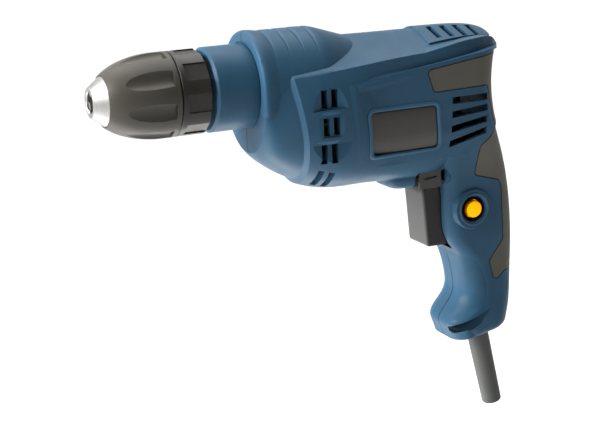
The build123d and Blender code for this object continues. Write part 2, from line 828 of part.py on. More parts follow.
# Openings that both halves have, cut on the left side
with BuildPart() as cuts:
    # slots across the hood
    for i in range(hood_slots):
        start = hood_slot_x + i * hood_slot_pitch
        slot = rectangle(level(0), (start, -hood_slot_outer), (start + hood_slot_width, -hood_slot_inner))
        extrude(slot, hump_radius)
    # scooped rows of slots beside the fan
    for bottom, height, half in fan_slot_rows:
        scoop_x = fan_slot_x + (fan_slot_pitch + fan_slot_width) / 2
        scoop = disc(level(bottom), scoop_radius, (scoop_x, scoop_depth - scoop_radius - half))
        extrude(scoop, height)
        for i in range(2):
            start = fan_slot_x + i * fan_slot_pitch
            low, high = (start, -half - wall), (start + fan_slot_width, 3 * wall - half)
            extrude(rectangle(level(bottom + slot_rim), low, high), height - 2 * slot_rim)
    # slots through the belly below the fan
    for i in range(2):
        start = fan_slot_x + i * fan_slot_pitch
        low, high = (start, -belly_slot_outer), (start + fan_slot_width, -belly_slot_inner)
        extrude(rectangle(level(belly_slot_top_z), low, high), -hump_radius)
    # slanted slots beside the commutator
    for front_z, back_z in side_slots:
        slot = [
            (side_slot_front_x, front_z - side_slot_height / 2),
            (side_slot_back_x, back_z - side_slot_height / 2),
            (side_slot_back_x, back_z + side_slot_height / 2),
            (side_slot_front_x, front_z + side_slot_height / 2),
        ]
        extrude(sheet(beside(3 * wall - rear_half_width), slot), 4 * wall)
    # shallow thumb grooves across the top of the gear case
    for i in range(thumb_grooves):
        start = thumb_groove_x + i * thumb_groove_pitch
        rim = hump_radius + thumb_groove_drop
        groove = [
            (start, rim),
            (start + thumb_groove_ramp, rim - thumb_groove_depth),
            (start + thumb_groove_width, rim),
        ]
        revolve(turning(groove, -thumb_groove_drop), Axis((0, 0, -thumb_groove_drop), (1, 0, 0)), 90)
    # opening for the trigger, and window and way for the reversing lever
    way_bottom_z = trigger_bottom_z - trigger_foot_gap
    low, high = (trigger_front_x - wall, -trigger_half_width - slide_gap), (switch_front_x - wall, 0)
    extrude(rectangle(level(way_bottom_z), low, high), trigger_top_z + slide_gap - way_bottom_z)
    window_x, window_end_x = lever_front_x - window_gap, lever_back_x + window_gap
    low, high = (window_x, -guard_back_half - wall), (window_end_x, overlap - trigger_half_width)
    window_bottom_z = lever_tab_bottom_z - slide_gap
    extrude(rectangle(level(window_bottom_z), low, high), lever_tab_top_z + slide_gap - window_bottom_z)
    low, high = (window_x, -trigger_half_width), (lever_pivot_x + lever_hub_radius + slide_gap, 0)
    extrude(rectangle(level(lever_bottom_z - slide_gap), low, high), lever_thickness + 2 * slide_gap)
    # way of the cord sleeve through the foot, with the groove for its flange
    sleeve_way = [
        (-sleeve_head - 2 * overlap, 0),
        (-sleeve_head - 2 * overlap, sleeve_radius + seat_gap),
        (flange_start - seat_gap, sleeve_radius + seat_gap),
        (flange_start - seat_gap, sleeve_flange_radius + seat_gap),
        (seat_gap - sleeve_flange_rise, sleeve_flange_radius + seat_gap),
        (seat_gap - sleeve_flange_rise, sleeve_radius + seat_gap),
        (foot_fillet, sleeve_radius + seat_gap),
        (foot_fillet, 0),
    ]
    revolve(sheet(sleeve_plane, sleeve_way), sleeve_axis)
    # hole of a clamp screw, and the blind slot above the foot
    hole = disc(level(clamp_z), clamp_screw_radius + seat_gap, (clamp_x, -clamp_screw_y))
    extrude(hole, clamp_height - clamp_screw_length - turning_gap)
    slot_floor_y = slot_depth - grip_half_width - toe_swell
    extrude(sheet(beside(slot_floor_y), toe_slot, toe_slot_corner), 2 * wall)
    # holes for the screws' shanks
    for place in screw_places:
        extrude(disc(beside(0), screw_radius + seat_gap, place), screw_length - screw_seat_y + turning_gap)
    # hole in the front wall for the collar, with the seat for its flange behind
    flange_end_x = body_front_x + wall + collar_flange + 2 * seat_gap
    collar_way = [
        (body_front_x - overlap, 0),
        (body_front_x - overlap, spigot_radius + seat_gap),
        (body_front_x + wall, spigot_radius + seat_gap),
        (body_front_x + wall, collar_flange_radius + seat_gap),
        (flange_end_x, collar_flange_radius + seat_gap),
        (flange_end_x, 0),
    ]
    revolve(turning(collar_way), spindle_axis)

# Shell of the left side, with what both sides have
with BuildPart() as one_side:
    add(outer.part)
    for hollow in (room, grip_rubber_pocket, cuts):
        add(hollow.part, mode=Mode.SUBTRACT)

# Left half, with the plate's pocket, the lock button's bezel, well and hole
with BuildPart() as left_housing_half:
    add(one_side.part)
    bezel_base = disc(beside(wall / 2 - grip_half_width), bezel_radius, (lock_x, lock_z))
    loft([bezel_base, disc(beside(bezel_rim_y), bezel_rim_radius, (lock_x, lock_z))])
    extrude(disc(beside(well_floor_y), well_radius, (lock_x, lock_z)), 2 * wall, mode=Mode.SUBTRACT)
    lock_hole = disc(beside(2 * wall - grip_half_width), lock_radius + slide_gap, (lock_x, lock_z))
    extrude(lock_hole, 4 * wall, mode=Mode.SUBTRACT)
    add(plate_pocket.part, mode=Mode.SUBTRACT)

# Right half, with the sinks for the screws' heads
with BuildPart() as right_housing_half:
    add(one_side.part)
    mirror(about=Plane.XZ, mode=Mode.REPLACE)
    with BuildSketch(beside(screw_seat_y)):
        with Locations(*screw_places):
            Circle(screw_head_radius + turning_gap)
    extrude(amount=-rear_half_width, mode=Mode.SUBTRACT)

# Inside outline of the gear case, for the plates that cross it
with BuildPart() as inside:
    add(body_form(case_wall + seat_gap, wall))
    add(hump_form(wall + seat_gap))

# Plate that carries the spindle's rear bush and the motor's front bearing
with BuildPart() as gear_plate:
    add(inside.part)
    extrude(rectangle(upright(gear_plate_x), *across), gear_plate_width, mode=Mode.INTERSECT)
    extrude(disc(upright(gear_plate_x), bush_radius + seat_gap), gear_plate_width, mode=Mode.SUBTRACT)
    bearing_seat = disc(upright(gear_plate_x), motor_bearing_radius + seat_gap, (0, motor_z))
    extrude(bearing_seat, gear_plate_width, mode=Mode.SUBTRACT)

with BuildPart() as fan_baffle:
    add(inside.part)
    extrude(rectangle(upright(baffle_x), *across), baffle_width, mode=Mode.INTERSECT)
    extrude(disc(upright(baffle_x), baffle_bore_radius, (0, motor_z)), baffle_width, mode=Mode.SUBTRACT)
    for place in screw_places:
        boss = disc(beside(0), boss_radius + seat_gap, place)
        extrude(boss, rear_half_width, both=True, mode=Mode.SUBTRACT)

# Round clamping collar, with the groove for the halves' front walls and the seats for seal and bearing
with BuildPart() as clamping_collar:
    wall_x, wall_end_x = body_front_x - seat_gap, body_front_x + wall + seat_gap
    lip_end_x = bearing_end_x + bearing_lip
    profile = [
        (collar_front_x, front_bore_radius),
        (collar_front_x, collar_radius - rim_chamfer),
        (collar_front_x + rim_chamfer, collar_radius),
        (wall_x, collar_radius),
        (wall_x, spigot_radius),
        (wall_end_x, spigot_radius),
        (wall_end_x, collar_flange_radius),
        (wall_end_x + collar_flange, collar_flange_radius),
        (wall_end_x + collar_flange, collar_hollow_radius),
        (lip_end_x, collar_hollow_radius),
        (lip_end_x, bearing_lip_radius),
        (bearing_end_x, bearing_lip_radius),
        (bearing_end_x, spindle_bearing_radius + seat_gap),
        (bearing_x, spindle_bearing_radius + seat_gap),
        (bearing_x, seal_radius + seat_gap),
        (seal_x, seal_radius + seat_gap),
        (seal_x, front_bore_radius),
    ]
    revolve(turning(profile), spindle_axis)
    # notch in the flange that lets the pinion past
    extrude(disc(motor_plane(wall_end_x), pinion_notch_radius), collar_flange, mode=Mode.SUBTRACT)


def bearing(start, bore, radius, width, axis_z=0.0):
    """Shielded ball bearing: a ring with a shallow recess between its two races on each face."""
    race = (radius - bore) / 3
    outline = [
        (start, bore + running_gap),
        (start, bore + race),
        (start + shield_recess, bore + race),
        (start + shield_recess, radius - race),
        (start, radius - race),
        (start, radius),
        (start + width, radius),
        (start + width, radius - race),
        (start + width - shield_recess, radius - race),
        (start + width - shield_recess, bore + race),
        (start + width, bore + race),
        (start + width, bore + running_gap),
    ]
    with BuildPart() as ring:
        revolve(turning(outline, axis_z), Axis((0, 0, axis_z), (1, 0, 0)))
    return ring


motor_ring = (motor_bearing_radius, motor_bearing_width, motor_z)
spindle_ring = (spindle_bearing_radius, spindle_bearing_width)
spindle_front_bearing = bearing(bearing_x, spindle_bearing_bore, *spindle_ring)
armature_front_bearing = bearing(gear_plate_x, motor_bearing_bore, *motor_ring)
armature_rear_bearing = bearing(tail_bearing_x, tail_bearing_bore, *motor_ring)

with BuildPart() as spindle_seal:
    revolve(turning(tube(seal_x, bearing_x, seal_radius, spindle_bearing_bore + running_gap)), spindle_axis)

with BuildPart() as spindle_rear_bush:
    bush_x, bush_end_x = gear_plate_x - bush_overhang, gear_plate_end_x + bush_overhang
    revolve(turning(tube(bush_x, bush_end_x, bush_radius, journal_radius + running_gap)), spindle_axis)

with BuildPart() as thrust_washer:
    revolve(
        turning(tube(gear_end_x, gear_end_x + washer_width, washer_radius, journal_radius + seat_gap)),
        spindle_axis,
    )

# Spindle: thread for the chuck, flange, bearing seat, gear seat and rear journal
ring_x = bearing_end_x + ring_gap
with BuildPart() as spindle_shaft:
    stop_x = collar_front_x - spindle_flange_gap
    steps = [
        (body_rear_x - spindle_thread_length, thread_radius - seat_gap),
        (body_rear_x, thread_radius - seat_gap),
        (body_rear_x, spindle_flange_radius),
        (stop_x, spindle_flange_radius),
        (stop_x, spindle_bearing_bore),
        (ring_x, spindle_bearing_bore),
        (ring_x, spindle_bearing_bore - ring_groove),
        (ring_x + ring_width, spindle_bearing_bore - ring_groove),
        (ring_x + ring_width, spindle_bearing_bore),
        (gear_x - gear_side_gap, spindle_bearing_bore),
        (gear_x - gear_side_gap, gear_seat_radius),
        (gear_end_x, gear_seat_radius),
        (gear_end_x, journal_radius),
        (gear_plate_end_x + bush_overhang, journal_radius),
    ]
    ends = [(steps[0][0], 0), *steps, (steps[-1][0], 0)]
    revolve(turning(ends), spindle_axis)
    tapped = disc(upright(body_rear_x - spindle_thread_length), chuck_screw_radius + seat_gap)
    extrude(tapped, chuck_screw_length - chuck_floor, mode=Mode.SUBTRACT)

with BuildPart() as retaining_ring:
    ring_bore = spindle_bearing_bore - ring_groove + seat_gap
    revolve(turning(tube(ring_x, ring_x + ring_width, ring_radius, ring_bore)), spindle_axis)
    mouth = rectangle(upright(ring_x), (-ring_mouth / 2, 0), (ring_mouth / 2, 2 * ring_radius))
    extrude(mouth, ring_width, mode=Mode.SUBTRACT)


def spur_gear(plane, teeth, shift, turn):
    """Face of a spur gear on a plane: each involute flank is an arc through three of its points.

    The flank stands at half the tooth's thickness on the pitch circle, less the involute of the angle there.
    """
    pitch = gear_module * teeth / 2
    base = pitch * cos(radians(pressure_angle))
    tip = pitch + gear_module * (tooth_addendum + shift)
    root = pitch - gear_module * (tooth_dedendum - shift)
    thickness = gear_module * (pi / 2 + 2 * shift * tan(radians(pressure_angle))) - tooth_backlash / 2

    def flank(radius, centre, side):
        angle = acos(min(1.0, base / radius))
        lead = acos(base / pitch)
        half = thickness / (2 * pitch) + (tan(lead) - lead) - (tan(angle) - angle)
        return (radius * cos(centre + side * half), radius * sin(centre + side * half))

    start = max(root, base)
    middle = (start + tip) / 2
    with BuildSketch(plane) as face:
        with BuildLine():
            for tooth in range(teeth):
                centre = radians(turn) + 2 * pi * tooth / teeth
                follow = centre + 2 * pi / teeth
                for side in (-1, 1):
                    ThreePointArc(
                        flank(start, centre, side), flank(middle, centre, side), flank(tip, centre, side)
                    )
                    Line(flank(root, centre, side), flank(start, centre, side))
                Line(flank(tip, centre, -1), flank(tip, centre, 1))
                Line(flank(root, centre, 1), flank(root, follow, -1))
        make_face()
    return face.sketch


with BuildPart() as spindle_gear:
    half_pitch = 180.0 / gear_teeth
    extrude(spur_gear(upright(gear_x), gear_teeth, -profile_shift, -90.0 + half_pitch), gear_width)
    gear_root = gear_module * (gear_teeth / 2 - tooth_dedendum - profile_shift)
    for face in (gear_x, gear_end_x - gear_web_recess):
        recess = tube(face, face + gear_web_recess, gear_root - gear_rim, gear_hub_radius)
        revolve(turning(recess), spindle_axis, mode=Mode.SUBTRACT)
    extrude(disc(upright(gear_x), gear_seat_radius + seat_gap / 2), gear_width, mode=Mode.SUBTRACT)

# Armature: shaft with the pinion cut on its end, core, windings, commutator and fan
pinion_x = gear_x - pinion_overlap
pinion_end_x = gear_end_x + pinion_overlap
core_shoulder_x = gear_plate_end_x + turning_gap
with BuildPart() as armature_shaft:
    extrude(spur_gear(motor_plane(pinion_x), pinion_teeth, profile_shift, 90.0), pinion_end_x - pinion_x)
    steps = [
        (pinion_end_x, motor_bearing_bore),
        (core_shoulder_x, motor_bearing_bore),
        (core_shoulder_x, shaft_radius),
        (commutator_end_x + turning_gap, shaft_radius),
        (commutator_end_x + turning_gap, tail_bearing_bore),
        (tail_bearing_end_x + turning_gap, tail_bearing_bore),
    ]
    revolve(turning([(steps[0][0], 0), *steps, (steps[-1][0], 0)], motor_z), motor_axis)

with BuildPart() as armature_core:
    extrude(disc(upright(core_x), core_radius, (0, motor_z)), core_length)
    extrude(disc(upright(core_x), shaft_radius, (0, motor_z)), core_length, mode=Mode.SUBTRACT)
    slots = spokes(motor_plane(core_x), core_slot_floor, core_radius + overlap, core_slot_width, core_slots)
    extrude(slots, core_length, mode=Mode.SUBTRACT)

with BuildPart() as armature_windings:
    for start in (core_x - winding_head, core_end_x):
        section = tube(start, start + winding_head, winding_radius, winding_bore)
        head = sheet(Plane.XZ, [(x, motor_z + radius) for x, radius in section], winding_fillet)
        revolve(head, motor_axis)
    bars = spokes(
        motor_plane(core_x - overlap),
        core_slot_floor + seat_gap,
        winding_radius - overlap,
        core_slot_width - 2 * seat_gap,
        core_slots,
    )
    extrude(bars, core_length + 2 * overlap)

with BuildPart() as commutator:
    extrude(disc(upright(commutator_x), commutator_radius, (0, motor_z)), commutator_length)
    extrude(disc(upright(commutator_x), shaft_radius, (0, motor_z)), commutator_length, mode=Mode.SUBTRACT)
    groove_floor = commutator_radius - bar_groove_depth
    grooves = spokes(
        motor_plane(commutator_x), groove_floor, commutator_radius + overlap, bar_groove_width, commutator_bars
    )
    extrude(grooves, commutator_length, mode=Mode.SUBTRACT)

with BuildPart() as cooling_fan:
    extrude(disc(upright(fan_end_x - fan_disc), fan_radius, (0, motor_z)), fan_disc)
    extrude(disc(upright(fan_x), fan_hub_radius, (0, motor_z)), fan_width)
    blade_root, blade_tip = fan_hub_radius - overlap, fan_radius - fan_rim
    blades = spokes(motor_plane(fan_x), blade_root, blade_tip, fan_blade_width, fan_blades)
    extrude(blades, fan_width - fan_disc)
    extrude(disc(upright(fan_x), shaft_radius, (0, motor_z)), fan_width, mode=Mode.SUBTRACT)


def sector(start, inner, outer, middle, half_angle):
    """Face between two radii about the motor axis, over a half angle each side of a middle direction."""
    with BuildSketch(motor_plane(start)) as face:
        with BuildLine():
            near = CenterArc((0, 0), inner, middle - half_angle, 2 * half_angle)
            far = CenterArc((0, 0), outer, middle - half_angle, 2 * half_angle)
            Line(near @ 0, far @ 0)
            Line(near @ 1, far @ 1)
        make_face()
    return face.sketch


# Stator with a pole above and below the armature, and a coil round each pole
bore_radius = core_radius + air_gap
with BuildPart() as stator_core:
    extrude(disc(motor_plane(stator_x), stator_radius), stator_length)
    extrude(disc(motor_plane(stator_x), bore_radius), stator_length, mode=Mode.SUBTRACT)
    for middle in (0, 180):
        window = sector(stator_x, bore_radius - overlap, yoke_radius, middle, 90 - pole_half_angle)
        extrude(window, stator_length, mode=Mode.SUBTRACT)

with BuildPart() as field_coils:
    coil_x = stator_x - coil_head
    coil_length = stator_length + 2 * coil_head
    coil_inner, coil_outer = bore_radius + coil_wall, yoke_radius - seat_gap
    for middle in (90, 270):
        extrude(sector(coil_x, coil_inner, coil_outer, middle, coil_half_angle), coil_length)
        half_angle = pole_half_angle + coil_pole_gap
        pole = sector(stator_x - seat_gap, coil_inner - overlap, coil_outer + overlap, middle, half_angle)
        extrude(pole, stator_length + 2 * seat_gap, mode=Mode.SUBTRACT)

# Brush gear, one of each on either side of the commutator
with BuildPart() as brush_holders:
    for side in (-1, 1):
        for half, half_z, mode in (
            (holder_half, holder_half_z, Mode.ADD),
            (holder_half - holder_wall, holder_half_z - holder_wall, Mode.SUBTRACT),
        ):
            low, high = (brush_x - half, motor_z - half_z), (brush_x + half, motor_z + half_z)
            section = rectangle(beside(side * holder_y), low, high)
            extrude(section, -side * (holder_end_y - holder_y), mode=mode)

with BuildPart() as carbon_brushes:
    for side in (-1, 1):
        low = (brush_x - brush_width / 2, motor_z - brush_height / 2)
        high = (brush_x + brush_width / 2, motor_z + brush_height / 2)
        extrude(rectangle(beside(0), low, high), -side * (brush_face + brush_length))
    extrude(disc(motor_plane(commutator_x), brush_face), commutator_length, mode=Mode.SUBTRACT)

with BuildPart() as brush_springs:
    for side in (-1, 1):
        for radius, mode in (
            (brush_spring_radius, Mode.ADD),
            (brush_spring_radius - brush_spring_wire, Mode.SUBTRACT),
        ):
            section = disc(beside(side * (brush_face + brush_length)), radius, (brush_x, motor_z))
            extrude(section, -side * brush_spring_length, mode=mode)

with BuildPart() as rear_bearing_boot:
    boot = [
        (tail_bearing_x, motor_bearing_radius + seat_gap),
        (tail_bearing_x, boot_radius),
        (boot_end_x, boot_radius),
        (boot_end_x, 0),
        (boot_end_x - boot_end / 2, 0),
        (boot_end_x - boot_end / 2, motor_bearing_radius - boot_wall),
        (tail_bearing_end_x, motor_bearing_radius - boot_wall),
        (tail_bearing_end_x, motor_bearing_radius + seat_gap),
    ]
    revolve(turning(boot, motor_z), motor_axis)

# Chuck: the jaws slide in slanted bores, driven by the split nut inside the front sleeve
jaw_slope = tan(radians(jaw_angle))
jaw_turn = 360.0 / jaws_round
tip_radius = bit_at_rest / 2 + jaw_inset
jaw_start = Vector(jaw_tip_x, 0, tip_radius)
jaw_direction = Vector(cos(radians(jaw_angle)), 0, sin(radians(jaw_angle)))


def jaw_back(x):
    """Radius of the jaws' outer side at a place along the spindle, with the jaws at rest."""
    return tip_radius + (x - jaw_tip_x) * jaw_slope + jaw_radius / cos(radians(jaw_angle))


nut_end_x = nut_x + nut_width
screw_floor_x = body_rear_x - thread_depth - chuck_floor
with BuildPart() as chuck_body:
    groove_x, groove_end_x = nut_x - turning_gap, nut_end_x + turning_gap
    steps = [
        (chuck_nose_x, 0),
        (chuck_nose_x, nose_flat_radius),
        (nose_ring_x, nose_ring_radius),
        (groove_x, nose_ring_radius),
        (groove_x, jaw_back(groove_x) - turning_gap),
        (groove_end_x, jaw_back(groove_end_x) - turning_gap),
        (groove_end_x, hub_radius),
        (body_rear_x, hub_radius),
        (body_rear_x, 0),
    ]
    revolve(turning(steps), spindle_axis)
    bit_bore = bit_capacity / 2 + turning_gap
    bores = [
        (chuck_nose_x, 0),
        (chuck_nose_x, bit_bore + nose_chamfer),
        (chuck_nose_x + nose_chamfer, bit_bore),
        (screw_floor_x, bit_bore),
        (screw_floor_x, chuck_screw_radius + turning_gap),
        (screw_floor_x + chuck_floor, chuck_screw_radius + turning_gap),
        (screw_floor_x + chuck_floor, thread_radius),
        (body_rear_x, thread_radius),
        (body_rear_x, 0),
    ]
    revolve(turning(bores), spindle_axis, mode=Mode.SUBTRACT)
    bore_start = Plane(origin=jaw_start - jaw_direction * jaw_bore_lead, z_dir=jaw_direction)
    jaw_bore = disc(bore_start, jaw_radius + running_gap)
    for i in range(jaws_round):
        extrude(jaw_bore.rotate(spindle_axis, jaw_turn * i), jaw_length + jaw_bore_run, mode=Mode.SUBTRACT)

with BuildPart() as jaw:
    pin_start = Plane(origin=jaw_start - jaw_direction * jaw_lead, z_dir=jaw_direction)
    extrude(disc(pin_start, jaw_radius), jaw_length + jaw_lead)
    land, reach = jaw_land / 2, 8 * jaw_radius
    flank_y = land + reach * sin(radians(jaw_turn / 2))
    flank_z = bit_at_rest / 2 + reach * cos(radians(jaw_turn / 2))
    wedge = [
        (-land, bit_at_rest / 2),
        (land, bit_at_rest / 2),
        (flank_y, flank_z),
        (0, bit_at_rest / 2 + 2 * reach),
        (-flank_y, flank_z),
    ]
    extrude(sheet(upright(jaw_tip_x), wedge), 2 * jaw_length, mode=Mode.INTERSECT)

jaws = []
for i in range(jaws_round):
    with BuildPart() as turned_jaw:
        add(jaw.part.rotate(spindle_axis, jaw_turn * i))
    jaws.append(turned_jaw)

with BuildPart() as chuck_nut:
    cone = [
        (nut_x, jaw_back(nut_x) + running_gap),
        (nut_x, nut_radius),
        (nut_end_x, nut_radius),
        (nut_end_x, jaw_back(nut_end_x) + running_gap),
    ]
    revolve(turning(cone), spindle_axis)
    cut = rectangle(upright(nut_x), (-running_gap, -2 * nut_radius), (running_gap, 2 * nut_radius))
    extrude(cut, nut_width, mode=Mode.SUBTRACT)

with BuildPart() as chuck_front_sleeve:
    front_radius = nose_ring_radius + turning_gap
    with BuildSketch(Plane.XZ):
        with BuildLine():
            ogive = Bezier(
                (nose_ring_x, front_radius + sleeve_lip),
                (nose_ring_x + ogive_rise_x, chuck_radius - ogive_rise),
                (nose_ring_x + ogive_flat_x, chuck_radius),
                (nose_ring_x + ogive_length, chuck_radius),
            )
            Polyline(
                ogive @ 1,
                (sleeve_seam_x, chuck_radius),
                (sleeve_seam_x, nut_radius + seat_gap),
                (nut_x - turning_gap, nut_radius + seat_gap),
                (nut_x - turning_gap, front_radius),
                (nose_ring_x, front_radius),
                ogive @ 0,
            )
        make_face()
    revolve(axis=spindle_axis)
    scallop_axis = Vector(-cos(radians(scallop_lean)), 0, -sin(radians(scallop_lean)))
    scallop_start = Vector(scallop_rear_x, 0, chuck_radius + scallop_radius - scallop_depth)
    scallop = disc(Plane(origin=scallop_start, z_dir=scallop_axis), scallop_radius)
    for i in range(scallops):
        turned = scallop.rotate(spindle_axis, scallop_turn + 360.0 * i / scallops)
        extrude(turned, scallop_rear_x - nose_ring_x, mode=Mode.SUBTRACT)

with BuildPart() as chuck_rear_collar:
    collar_x = sleeve_seam_x + seam_gap
    rear_collar = tube(collar_x, chuck_rear_x, chuck_radius - rear_collar_step, hub_radius)
    revolve(turning(rear_collar), spindle_axis)
    rims = chuck_rear_collar.edges().filter_by(GeomType.CIRCLE).sort_by(SortBy.RADIUS)[-2:]
    chamfer(rims, rear_collar_chamfer)
    notch = rectangle(
        upright(notch_front_x),
        (-notch_width / 2, chuck_radius - notch_depth),
        (notch_width / 2, chuck_radius + notch_depth),
    )
    for i in range(notches):
        turned = notch.rotate(spindle_axis, notch_turn + 360.0 * i / notches)
        extrude(turned, chuck_rear_x - notch_front_x, mode=Mode.SUBTRACT)

with BuildPart() as chuck_screw:
    steps = [
        (screw_floor_x - chuck_screw_head, 0),
        (screw_floor_x - chuck_screw_head, chuck_screw_head_radius),
        (screw_floor_x, chuck_screw_head_radius),
        (screw_floor_x, chuck_screw_radius),
        (screw_floor_x + chuck_screw_length, chuck_screw_radius),
        (screw_floor_x + chuck_screw_length, 0),
    ]
    revolve(turning(steps), spindle_axis)

# Switch group in the grip
with BuildPart() as switch_body:
    low, high = (switch_front_x, -switch_half_width), (switch_back_x, switch_half_width)
    extrude(rectangle(level(switch_bottom_z), low, high), switch_top_z - switch_bottom_z)
    fillet(switch_body.edges().filter_by(Axis.Z), switch_edge)
    plunger_bore = disc(upright(switch_front_x), plunger_radius + running_gap, (0, plunger_z))
    extrude(plunger_bore, plunger_reach + trigger_travel + overlap, mode=Mode.SUBTRACT)
    lock_bore = disc(beside(-switch_half_width), lock_stem_radius + turning_gap, (lock_x, lock_z))
    extrude(lock_bore, -2 * lock_travel, mode=Mode.SUBTRACT)
    pivot = disc(level(switch_top_z), lever_pivot_radius, (lever_pivot_x, 0))
    extrude(pivot, lever_top_z + pivot_rise - switch_top_z)
    shoulder = disc(level(switch_top_z), pivot_shoulder_radius, (lever_pivot_x, 0))
    extrude(shoulder, lever_bottom_z - turning_gap - switch_top_z)

with BuildPart() as trigger:
    profile = [
        (trigger_front_x, trigger_top_z),
        (trigger_back_x, trigger_top_z),
        (trigger_back_x, trigger_bottom_z),
        (trigger_toe_x, trigger_bottom_z),
    ]
    extrude(sheet(Plane.XZ, profile, [trigger_brow, 0, 0, trigger_toe_radius]), trigger_half_width, both=True)
    front = trigger.edges().filter_by(lambda e: abs(abs(e.center().Y) - trigger_half_width) < seat_gap)
    fillet(front.filter_by(lambda e: e.center().X < trigger_back_x - overlap), trigger_edge)
    pocket = disc(upright(trigger_pocket_x), trigger_spring_radius + turning_gap, (0, plunger_z))
    extrude(pocket, trigger_back_x - trigger_pocket_x, mode=Mode.SUBTRACT)
    plunger = disc(upright(trigger_pocket_x), plunger_radius, (0, plunger_z))
    extrude(plunger, switch_front_x + plunger_reach - trigger_pocket_x)

with BuildPart() as trigger_spring:
    spring_x = trigger_pocket_x + seat_gap
    for radius, mode in (
        (trigger_spring_radius, Mode.ADD),
        (trigger_spring_radius - trigger_spring_wire, Mode.SUBTRACT),
    ):
        section = disc(upright(spring_x), radius, (0, plunger_z))
        extrude(section, switch_front_x - seat_gap - spring_x, mode=mode)

with BuildPart() as lock_button:
    cap = disc(beside(lock_cap_y), lock_radius, (lock_x, lock_z))
    extrude(cap, lock_cap_y - lock_flange_y)
    fillet(lock_button.edges().sort_by(Axis.Y)[0], lock_edge)
    rim = disc(beside(lock_flange_y), lock_flange_radius, (lock_x, lock_z))
    extrude(rim, -lock_flange)
    stem = disc(beside(lock_flange_y), lock_stem_radius, (lock_x, lock_z))
    extrude(stem, lock_flange_y - lock_stem_y)

with BuildPart() as lock_spring:
    spring_y = lock_flange_y + lock_flange + seat_gap
    for radius, mode in (
        (lock_spring_radius, Mode.ADD),
        (lock_stem_radius + turning_gap, Mode.SUBTRACT),
    ):
        section = disc(beside(spring_y), radius, (lock_x, lock_z))
        extrude(section, spring_y + switch_half_width + seat_gap, mode=mode)

with BuildPart() as reverse_lever:
    extrude(disc(level(lever_bottom_z), lever_hub_radius, (lever_pivot_x, 0)), lever_thickness)
    low, high = (lever_back_x - overlap, -lever_arm_half), (lever_pivot_x, lever_arm_half)
    extrude(rectangle(level(lever_bottom_z), low, high), lever_thickness)
    bar = rectangle(level(lever_bottom_z), (lever_front_x, -lever_tab_outer), (lever_back_x, lever_tab_outer))
    extrude(bar, lever_thickness)
    for side in (-1, 1):
        tab = rectangle(
            level(lever_tab_bottom_z),
            (lever_front_x, min(side * lever_tab_inner, side * lever_tab_outer)),
            (lever_back_x, max(side * lever_tab_inner, side * lever_tab_outer)),
        )
        extrude(tab, lever_tab_top_z - lever_tab_bottom_z)
    bore = disc(level(lever_bottom_z), lever_pivot_radius + running_gap, (lever_pivot_x, 0))
    extrude(bore, lever_thickness, mode=Mode.SUBTRACT)

with BuildPart() as capacitor:
    low = (capacitor_x, -capacitor_half)
    high = (capacitor_x + capacitor_length, capacitor_half)
    extrude(rectangle(level(capacitor_z), low, high), capacitor_height)
    fillet(capacitor.edges().filter_by(Axis.Z), capacitor_edge)

# Cord sleeve, held by its flange in the foot of the grip
with BuildPart() as cord_sleeve:
    profile = [
        (-sleeve_head, sleeve_bore),
        (-sleeve_head, sleeve_radius),
        (flange_start, sleeve_radius),
        (flange_start, sleeve_flange_radius),
        (-sleeve_flange_rise, sleeve_flange_radius),
        (-sleeve_flange_rise, sleeve_radius),
        (0, sleeve_radius),
        (sleeve_reach, sleeve_end_radius),
        (sleeve_reach, sleeve_bore),
    ]
    revolve(sheet(sleeve_plane, profile, [0, 0, 0, 0, 0, 0, 0, sleeve_end_fillet, 0]), sleeve_axis)

# Clamp bar across the cord's way, on its two posts
with BuildPart() as cord_clamp:
    low, high = (clamp_x - clamp_width / 2, -clamp_half), (clamp_x + clamp_width / 2, clamp_half)
    extrude(rectangle(level(clamp_z), low, high), clamp_height)
    saddle = disc(upright(clamp_x), sleeve_bore, (0, clamp_z))
    extrude(saddle, clamp_width, both=True, mode=Mode.SUBTRACT)
    for side in (-1, 1):
        hole = disc(level(clamp_z), clamp_screw_radius + seat_gap, (clamp_x, side * clamp_screw_y))
        extrude(hole, clamp_height, mode=Mode.SUBTRACT)

with BuildPart() as cord_clamp_screws:
    for side in (-1, 1):
        place = (clamp_x, side * clamp_screw_y)
        extrude(disc(level(clamp_z + clamp_height), clamp_screw_head_radius, place), clamp_screw_head)
        extrude(disc(level(clamp_z + clamp_height), clamp_screw_radius, place), -clamp_screw_length)

with BuildPart() as housing_screws:
    for place in screw_places:
        extrude(disc(beside(screw_seat_y), screw_head_radius, place), -screw_head)
        extrude(disc(beside(screw_seat_y), screw_radius, place), screw_length)

